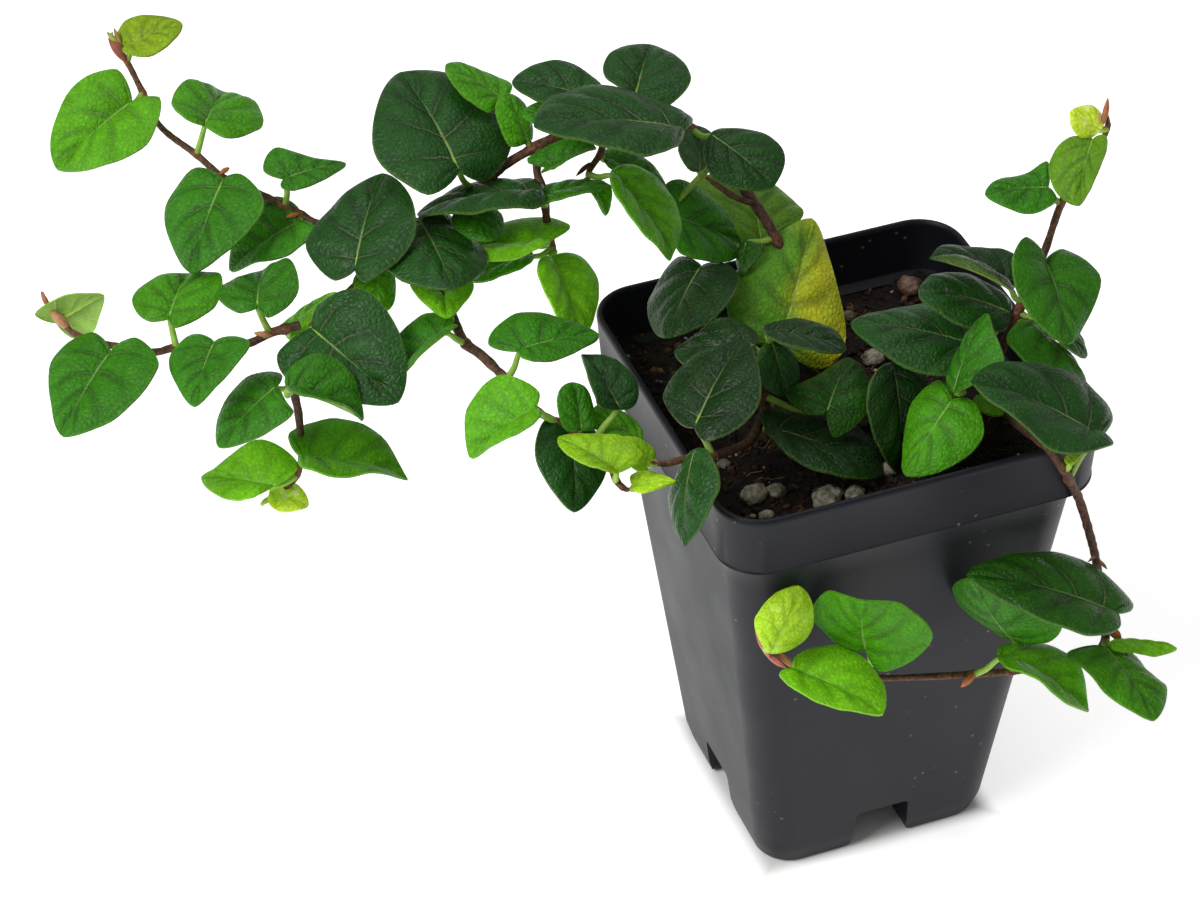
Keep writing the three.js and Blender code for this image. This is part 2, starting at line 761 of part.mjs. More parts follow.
        outline: [[214, 342], [196, 334], [169, 357], [177, 386],
          [194, 406], [218, 382], [250, 344], [231, 336]],
        joins: [222, 346], near: 4,
      },
      {
        outline: [[257, 306], [240, 311], [216, 294], [233, 279],
          [262, 270], [288, 258], [298, 290], [268, 316]],
        joins: [269, 332],
      },
      {
        outline: [[285, 332], [282, 325], [303, 308], [322, 297],
          [336, 292], [325, 312], [305, 335], [289, 339]],
        joins: [285, 329], near: -6,
      },
    ],
  },
  spray_lower_left: {
    colour: "#2e7d1e",
    stems: [
      {
        radii: [0.75, 0.45],
        path: [
          [304, 338, 97],
          [298, 365, 95],
          [294, 388, 92],
          [298, 410, 88],
          [300, 428, 84],
          [302, 450, 79],
          [297, 475, 74],
          [282, 491, 71],
          [268, 499, 70],
          [262, 506, 69],
        ],
      },
    ],
    leaves: [
      {
        outline: [[276, 386], [280, 373], [246, 376], [219, 414],
          [218, 447], [258, 436], [292, 413], [285, 400]],
        joins: [293, 384],
      },
      {
        outline: [[272, 485], [298, 465], [262, 439], [216, 466],
          [201, 477], [213, 492], [240, 500], [258, 494]],
        joins: [297, 474],
      },
      {
        outline: [[302, 456], [289, 433], [330, 418], [376, 431],
          [408, 479], [380, 472], [340, 475], [303, 466]],
        joins: [301, 455], sharp: 0.9, near: 5.5,
      },
      {
        outline: [[270, 492], [272, 483], [290, 481], [304, 491],
          [309, 505], [298, 510], [280, 511], [269, 503]],
        joins: [270, 498], near: 1,
      },
      {
        outline: [[288, 387], [288, 370], [322, 353], [352, 375],
          [364, 419], [345, 404], [318, 398], [292, 390]],
        joins: [295, 386], near: 13,
      },
    ],
  },
  spray_front_left: {
    colour: "#2e7d1e",
    stems: [
      {
        radii: [0.9, 0.5],
        path: [
          [425, 262, 103.5],
          [434, 287, 102],
          [445, 303, 101],
          [453, 318, 100],
          [465, 343, 98.5],
          [480, 354, 98],
          [500, 373, 97],
          [520, 393, 96],
          [537, 411, 95],
          [560, 424, 94],
          [580, 434, 93],
          [600, 455, 91.5],
          [612, 470, 90.5],
          [618, 483, 89.5],
          [628, 490, 89],
          [637, 486, 89.5],
        ],
      },
    ],
    leaves: [
      {
        outline: [[446, 330], [452, 316], [420, 314], [391, 348],
          [394, 384], [409, 366], [433, 341], [457, 325]],
        joins: [464, 343],
      },
      {
        outline: [[442, 284], [420, 278], [410, 284], [428, 305],
          [447, 318], [462, 305], [474, 284], [460, 278]],
        joins: [435, 286], near: -2,
      },
      {
        outline: [[534, 407], [537, 390], [497, 375], [467, 410],
          [469, 457], [490, 446], [518, 432], [539, 417]],
        joins: [556, 422], near: 4,
      },
      {
        outline: [[518, 350], [488, 342], [515, 313], [562, 318],
          [599, 334], [578, 350], [540, 362], [522, 356]],
        joins: [506, 378],
      },
      {
        outline: [[582, 430], [566, 429], [558, 405], [561, 388],
          [572, 382], [586, 387], [593, 405], [597, 428]],
        joins: [574, 431], near: 1,
      },
      {
        outline: [[620, 408], [635, 405], [638, 384], [613, 357],
          [582, 354], [586, 368], [594, 390], [600, 405]],
        joins: [592, 447], near: -1, sharp: 1,
      },
      {
        outline: [[643, 440], [640, 426], [622, 411], [600, 404],
          [589, 415], [597, 428], [615, 440], [636, 446]],
        joins: [602, 458], near: -7,
      },
      {
        outline: [[618, 471], [643, 455], [622, 437], [590, 433],
          [558, 437], [570, 455], [590, 465], [606, 470]],
        joins: [616, 478], near: 5,
      },
      {
        outline: [[571, 430], [548, 418], [535, 450], [551, 487],
          [575, 512], [597, 491], [608, 460], [592, 428]],
        joins: [570, 430], near: -1,
      },
      {
        outline: [[634, 486], [630, 476], [646, 471], [663, 475],
          [676, 481], [662, 486], [648, 491], [637, 491]],
        joins: [636, 486], near: 1,
      },
    ],
  },
  tuft_front: {
    colour: "#1f4a2a",
    stems: [
      {
        rooted: true,
        radii: [0.9, 0.6],
        path: [
          [767, 429, 79],
          [764, 402, 86],
          [763, 378, 91],
          [768, 352, 94],
          [772, 335, 96],
        ],
      },
      {
        radii: [0.8, 0.5],
        path: [
          [765, 408, 85],
          [752, 438, 84],
          [737, 448, 86.5],
          [710, 456, 89.5],
          [684, 459, 91.5],
          [664, 464, 91.5],
          [651, 462, 93],
        ],
      },
    ],
    leaves: [
      {
        outline: [[694, 450], [686, 462], [669, 496], [672, 524],
          [684, 546], [708, 513], [719, 481], [707, 450]],
        joins: [690, 458], sharp: 0.9,
      },
      {
        outline: [[695, 426], [680, 423], [663, 395], [688, 360],
          [743, 339], [757, 362], [757, 408], [707, 441]],
        joins: [711, 455], near: 4,
      },
      {
        outline: [[755, 345], [757, 333], [722, 317], [690, 338],
          [674, 351], [685, 364], [715, 372], [750, 360]],
        joins: [767, 354], near: -0.5,
      },
      {
        outline: [[772, 341], [760, 350], [757, 372], [768, 390],
          [784, 396], [797, 384], [799, 366], [784, 343]],
        joins: [770, 345], near: 1,
      },
      {
        outline: [[767, 331], [764, 325], [800, 319], [833, 329],
          [847, 349], [826, 352], [798, 346], [770, 337]],
        joins: [771, 338], near: 5,
      },
      {
        outline: [[827, 411], [806, 412], [785, 392], [815, 377],
          [848, 357], [866, 374], [868, 412], [834, 435]],
        joins: [765, 398], near: 5,
      },
      {
        outline: [[767, 427], [762, 408], [840, 415], [876, 445],
          [882, 474], [855, 478], [812, 468], [772, 438]],
        joins: [767, 424], near: 9,
      },
      {
        outline: [[651, 463], [656, 454], [645, 441], [630, 436],
          [612, 440], [625, 458], [636, 470], [648, 470]],
        joins: [652, 462], near: -5.5,
      },
    ],
  },
  tuft_right: {
    colour: "#2a6f22",
    stems: [
      {
        rooted: true,
        radii: [0.9, 0.6],
        path: [
          [946, 397, 79],
          [951, 388, 84],
          [963, 374, 88],
          [980, 352, 92],
          [1000, 326, 95],
        ],
      },
    ],
    leaves: [
      {
        outline: [[978, 346], [979, 320], [930, 305], [880, 311],
          [851, 322], [872, 345], [918, 370], [960, 376]],
        joins: [982, 350], near: 1,
      },
      {
        outline: [[1010, 312], [1008, 296], [965, 273], [935, 274],
          [919, 288], [925, 302], [962, 325], [1003, 330]],
        joins: [992, 336], near: 1.5,
      },
      {
        outline: [[953, 392], [946, 384], [953, 360], [968, 333],
          [986, 313], [993, 330], [1003, 362], [975, 382]],
        joins: [957, 381], near: 15.2,
      },
      {
        outline: [[952, 400], [938, 380], [913, 402], [902, 455],
          [906, 476], [945, 470], [983, 435], [972, 400]],
        joins: [950, 390], near: 14.5,
      },
      {
        outline: [[893, 363], [876, 372], [868, 410], [882, 452],
          [900, 473], [925, 450], [940, 405], [915, 368]],
        joins: [946, 396], ratio: 0.4, near: 14,
      },
    ],
  },
  shoot_right: {
    colour: "#2e7d1e",
    stems: [
      {
        rooted: true,
        radii: [0.9, 0.45],
        path: [
          [984, 391, 79],
          [992, 370, 86],
          [1008, 335, 93],
          [1022, 303, 98.5],
          [1044, 253, 107],
          [1063, 200, 115.5],
          [1085, 165, 121],
          [1103, 139, 126],
          [1108, 125, 128],
          [1107, 111, 130.5],
        ],
      },
    ],
    leaves: [
      {
        outline: [[1014, 288], [1013, 253], [985, 248], [945, 244],
          [930, 257], [952, 255], [980, 264], [1006, 284]],
        joins: [1021, 305], near: 2, sharp: 0.8,
      },
      {
        outline: [[1046, 262], [1027, 237], [1013, 262], [1030, 314],
          [1067, 344], [1085, 325], [1100, 274], [1063, 249]],
        joins: [1035, 277], near: 4,
      },
      {
        outline: [[1040, 316], [1060, 320], [1078, 332], [1086, 347],
          [1087, 357], [1076, 353], [1060, 340], [1045, 325]],
        joins: [1018, 313], near: 1,
      },
      {
        outline: [[1029, 319], [1018, 322], [1009, 338], [1035, 368],
          [1085, 386], [1078, 368], [1050, 348], [1034, 326]],
        joins: [1014, 322], near: 1,
      },
      {
        outline: [[1101, 130], [1104, 117], [1092, 105], [1077, 107],
          [1071, 112], [1072, 126], [1082, 137], [1093, 137]],
        joins: [1107, 129], near: 1,
      },
      {
        outline: [[1093, 139], [1070, 137], [1049, 163], [1058, 195],
          [1078, 205], [1090, 187], [1103, 158], [1105, 135]],
        joins: [1103, 140],
      },
      {
        outline: [[1048, 187], [1047, 161], [1025, 174], [998, 179],
          [985, 193], [1002, 205], [1033, 212], [1057, 199]],
        joins: [1060, 207], near: 2,
      },
    ],
  },
  trailer_right: {
    colour: "#2e7d1e",
    stems: [
      {
        rooted: true,
        radii: [0.9, 0.45],
        path: [
          [999, 411, 79],
          [1015, 422, 84.5],
          [1035, 437, 88.6],
          [1050, 449, 89.4],
          [1063, 468, 86.8],
          [1072, 485, 81],
          [1079, 499, 76],
          [1090, 535, 69],
          [1098, 570, 61],
          [1103, 610, 53],
          [1105, 640, 47],
          [1094, 655, 44.5],
          [1070, 663, 44],
          [1040, 668, 44],
          [1015, 671, 44.5],
          [960, 675, 46],
          [920, 677, 47],
          [880, 678, 49.5],
          [830, 674, 51.5],
          [795, 668, 53.5],
          [783, 664, 54.5],
          [770, 655, 56],
          [762, 643, 58],
          [760, 632, 60],
        ],
      },
    ],
    leaves: [
      {
        outline: [[1098, 435], [1113, 413], [1075, 375], [1005, 361],
          [972, 380], [1010, 413], [1060, 451], [1114, 443]],
        joins: [1068, 478], near: 5,
      },
      {
        outline: [[975, 397], [974, 402], [985, 412], [1000, 415],
          [1010, 412], [1004, 405], [994, 398], [982, 394]],
        joins: [1003, 415], near: 1,
      },
      {
        outline: [[1069, 463], [1064, 461], [1066, 456], [1072, 452],
          [1081, 451], [1080, 455], [1077, 459], [1072, 464]],
        joins: [1063, 468], near: 2,
      },
      {
        outline: [[1115, 612], [1134, 603], [1072, 555], [1010, 555],
          [967, 574], [1022, 609], [1085, 634], [1120, 627]],
        joins: [1104, 630], ratio: 0.36, near: 14.5,
      },
      {
        outline: [[1012, 640], [995, 627], [965, 608], [952, 589],
          [972, 579], [1020, 600], [1060, 628], [1045, 643]],
        joins: [1008, 671], flip: true, ratio: 0.6, near: 7.5,
      },
      {
        outline: [[1000, 655], [1002, 645], [1048, 643], [1080, 665],
          [1089, 711], [1065, 700], [1035, 677], [1005, 664]],
        joins: [974, 675], near: 5, sharp: 0.9,
      },
      {
        outline: [[1106, 647], [1068, 652], [1090, 673], [1120, 703],
          [1155, 720], [1167, 690], [1150, 672], [1128, 650]],
        joins: [1105, 641],
      },
      {
        outline: [[1110, 643], [1114, 641], [1135, 640], [1158, 644],
          [1177, 648], [1158, 654], [1135, 652], [1112, 648]],
        joins: [1105, 638], ratio: 0.2, near: 3,
      },
      {
        outline: [[866, 651], [835, 643], [811, 617], [826, 593],
          [861, 601], [905, 607], [932, 640], [880, 672]],
        joins: [868, 677], flip: true, ratio: 0.62, near: 7.5,
      },
      {
        outline: [[795, 669], [797, 655], [845, 645], [884, 685],
          [883, 714], [850, 709], [812, 699], [780, 673]],
        joins: [799, 669], near: 6,
      },
      {
        outline: [[770, 653], [760, 640], [757, 618], [775, 596],
          [799, 586], [811, 600], [812, 630], [790, 650]],
        joins: [768, 653], flip: true, near: 8.5,
      },
    ],
  },
};

const group = new THREE.Group();
const add = (...args) => group.add(meshOf(...args));

const rooted = Object.values(SPRAYS).flatMap(({ stems }) => stems.filter((stem) => stem.rooted));
const stemFeet = rooted.map(({ path }) => atHeight(path[0]));
add("pot", makePot(), "#3a3a42", 0.55);
add("soil", makeSoil(stemFeet), "#1a1412", 0.95);
GRAINS.forEach((grain, i) => add(`grain_${i + 1}`, lump(grain), "#b8b0a0", 0.9));
add("bark_lump", lump(BARK), "#8a7468", 0.9);
for (const [name, spray] of Object.entries(SPRAYS)) add(name, makeSpray(spray), spray.colour, 0.45);

export default group;
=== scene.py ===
"""Potted creeping fig: a square nursery pot of soil, and leafy stems that arch out over its rim.

Lengths in this file are millimetres, and are turned to metres as each mesh is made. The pot stands
on z = 0 with its middle at x = y = 0, and its front wall faces -Y.
"""

import math
import random
from functools import partial

import bmesh
import bpy
from mathutils import Matrix, Vector, noise


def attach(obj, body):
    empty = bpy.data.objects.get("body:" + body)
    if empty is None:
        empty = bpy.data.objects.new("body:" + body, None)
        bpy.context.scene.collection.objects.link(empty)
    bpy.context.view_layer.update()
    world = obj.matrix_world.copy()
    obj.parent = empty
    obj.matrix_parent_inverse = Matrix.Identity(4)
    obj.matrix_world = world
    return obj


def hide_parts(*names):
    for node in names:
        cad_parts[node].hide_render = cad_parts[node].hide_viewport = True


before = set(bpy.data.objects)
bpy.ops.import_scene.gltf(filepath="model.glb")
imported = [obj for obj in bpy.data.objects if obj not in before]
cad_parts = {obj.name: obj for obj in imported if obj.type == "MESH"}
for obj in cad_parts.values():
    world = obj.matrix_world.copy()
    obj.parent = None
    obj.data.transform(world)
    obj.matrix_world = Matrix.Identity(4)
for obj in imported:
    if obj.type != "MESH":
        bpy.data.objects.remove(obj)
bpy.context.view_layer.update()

MM = 0.001

# Pot
POT_HEIGHT = 87
RIM_HALF = 32
RIM_CORNER = 7.7
COLLAR_HEIGHT = 11
COLLAR_HALF = 31.3
BODY_TOP_HALF = 29.5
BODY_TOP_CORNER = 7.3
BODY_FOOT_HALF = 20.6
BODY_FOOT_CORNER = 5.9
FOOT_HEIGHT = 3.3
SOLE_HALF = 19.7
WALL = 1.2
CORNER_STEPS = 12
POT_FLOOR = 9.8
NOTCH_SOLE_WIDTH = 10
NOTCH_TOP_WIDTH = 9.4
NOTCH_HEIGHT = 8.6
NOTCH_DEPTH = 9
FOOT_ROUND = 1.6  # of the foot's corners beside a notch

# Soil
SOIL_LEVEL = 77.6
SOIL_HALF = 29.6
SOIL_CORNER = 6
ROOT_DEPTH = 9
SOIL_CELLS = 104  # across the soil's surface
CRUMBS = 1500
FIBRES = 90

# Plant
STEPS_PER_POINT = 1.2  # straight pieces of a stem's coarse form, for each point of its path
STEM_STEP = 0.8  # length of a ring of a stem's finer form
BLADE_THICKNESS = 0.34
PETIOLE_RADIUS = 0.46
PETIOLE_STEPS = 20
BUD_REACH = 0.6  # of a bud's middle line from its stem, towards the viewer
BUD_STEPS = 8
BLADE_ARCH = 0.05
BLADE_DOME = 0.03
QUILT = 0.03  # how far a blade's flesh swells between side veins, in its lengths
WAVE = 0.01  # height of its margin's waves, in its lengths
RIPPLE = 0.004  # of the smaller waves on those
BUCKLE = 0.02  # how far it warps, in its lengths
GROOVE_DEPTH = 0.1  # of the groove along its midrib
GROOVE_WIDTH = 0.55
KNUCKLE_REACH = 1.3  # how far a stem is swollen on either side of a leaf's stalk
USUAL_REACH = 3
USUAL_RATIO = 0.44
USUAL_SHARPNESS = 0.3  # of a blade's tip: 0 is round, 1 has straight sides
NOTCH_TURN = 0.3  # how strongly the margin turns back from the base, in blade lengths
LOBE = (0.7, -0.07)
SIDE = (0.98, 0.28)
SHOULDER = (0.72, 0.7)
ACROSS_STOPS = (0, 0.04, 0.13, 0.25, 0.37, 0.49, 0.61, 0.73, 0.84, 0.93, 0.975, 1)
ALONG_STEPS = 28
SIDE_VEINS = (0.13, 0.34, 0.56, 0.72, 0.86)  # where side veins leave the midrib, 0 base to 1 tip
VEIN_SLOPE = 0.13  # how far towards the tip a side vein runs by the time it meets the margin

# The plant is placed by where each piece is seen in the reference picture, 1200 by 913 pixels.
PICTURE_WIDTH = 1200
VIEW_EYE = Vector((-196.7, -432.0, 452.8))
VIEW_AZIMUTH = math.radians(-19.81)
VIEW_ELEVATION = math.radians(39.06)
VIEW_ROLL = math.radians(-1.17)
VIEW_FOCAL = 3792.2
VIEW_MIDDLE = (600, 456.5)

towards_viewer = Vector(
    (
        math.sin(VIEW_AZIMUTH) * math.cos(VIEW_ELEVATION),
        -math.cos(VIEW_AZIMUTH) * math.cos(VIEW_ELEVATION),
        math.sin(VIEW_ELEVATION),
    )
)
level_right = Vector((math.cos(VIEW_AZIMUTH), math.sin(VIEW_AZIMUTH), 0))
picture_right = Matrix.Rotation(VIEW_ROLL, 3, towards_viewer) @ level_right
picture_up = towards_viewer.cross(picture_right)

# Leaf colours by age, as seen from above. Some leaves take a darker or lighter tone than their
# age gives, as painted shade and painted light for how light falls on them
TONES = {
    # painted shade: a darker tone for old leaves that lie in shade
    "old_in_painted_shade": "#123608",
    "old": "#1b4a10",
    # painted sheen: a greyish tone for the shine of light on a lit leaf
    "grey_painted_sheen": "#3c5c34",
    "deep": "#26580e",
    "green": "#367a10",
    "fresh": "#489010",
    "bright": "#5ca616",
    "vivid": "#78c21c",
    "sallow": "#60901a",
    "olive": "#80a018",
    "lime": "#90c41c",
    "tender": "#aedc28",
    "newest": "#dcfa44",
    "turning": "#5a9024",
}

# Pale grains that lie in the soil, and a chip of bark: u, v in the picture, and width
GRAINS = (
    (754, 494, 4.2),
    (776, 491, 3),
    (827, 498, 4.6),
    (766, 516, 2.4),
    (723, 464, 2),
    (855, 494, 3.2),
    (890, 469, 3),
    (872, 358, 3.6),
    (847, 316, 2.4),
)
BARK_CHIP = (910, 286, 4.2)

# Stem and stalk colours
BARK_TONES = ("#382619", "#50331f")

# Sheaths, buds and short roots on the stems: where each starts and ends in the picture, and width
BUDS = {
    "spray_upper_left": (
        ((121, 47), (107, 32), 1.1, "#8a9a3a"),
        ((122, 48), (114, 28), 0.8, "#9a7a3a"),
        ((110, 38), (128, 64), 1.7, "#8a4a34"),
        ((229, 168), (219, 174), 0.9, "#b06a34"),
        ((299, 214), (286, 217), 0.9, "#b06a34"),
    ),
    "spray_middle_left": (
        ((50, 309), (41, 291), 0.9, "#a5623a"),
        ((52, 312), (72, 331), 1.7, "#b3805a"),
        ((272, 336), (254, 333), 1.1, "#a5764a"),
    ),
    "spray_lower_left": (
        ((272, 497), (260, 505), 1.0, "#a9c84a"),
    ),
    "spray_front_left": (
        ((440, 298), (454, 318), 1.5, "#8a4a34"),
    ),
    "vine_main": (
        ((590, 163), (576, 176), 0.8, "#5a3a24"),
    ),
    "shoot_right": (
        ((1103, 124), (1108, 98), 1.0, "#a8683a"),
        ((1100, 128), (1098, 112), 0.8, "#b9a05a"),
    ),
    "trailer_right": (
        ((757, 630), (770, 658), 1.5, "#b8685a"),
        ((766, 652), (786, 668), 1.3, "#b8685a"),
        ((780, 654), (795, 668), 1.2, "#b07a52"),
        ((974, 674), (961, 687), 1.3, "#b06a34"),
        ((1110, 628), (1121, 640), 1.6, "#a85a30"),
        ((1098, 553), (1088, 562), 0.6, "#7a5030"),
        ((1099, 560), (1107, 569), 0.6, "#7a5030"),
    ),
}


def stem_along(start_radius, end_radius, *path, rooted=False):
    """A stem through path: u, v in the picture, and height above the sole."""
    return {"radii": (start_radius, end_radius), "path": path, "rooted": rooted}


def leaf_at(tone, joins, *outline, **more):
    """A leaf, by where it is seen in the picture.

    joins is where its stalk meets the stem. Its outline goes round it: the notch at its base, then
    lobe, side and shoulder, its tip, and shoulder, side and lobe back. Of the rest, near is how far
    its base stands from the stem towards the viewer, sharp is how pointed its tip is, ratio is its
    half width for its length, and flip and under choose how it lies.
    """
    return {"tone": tone, "joins": joins, "outline": outline, **more}


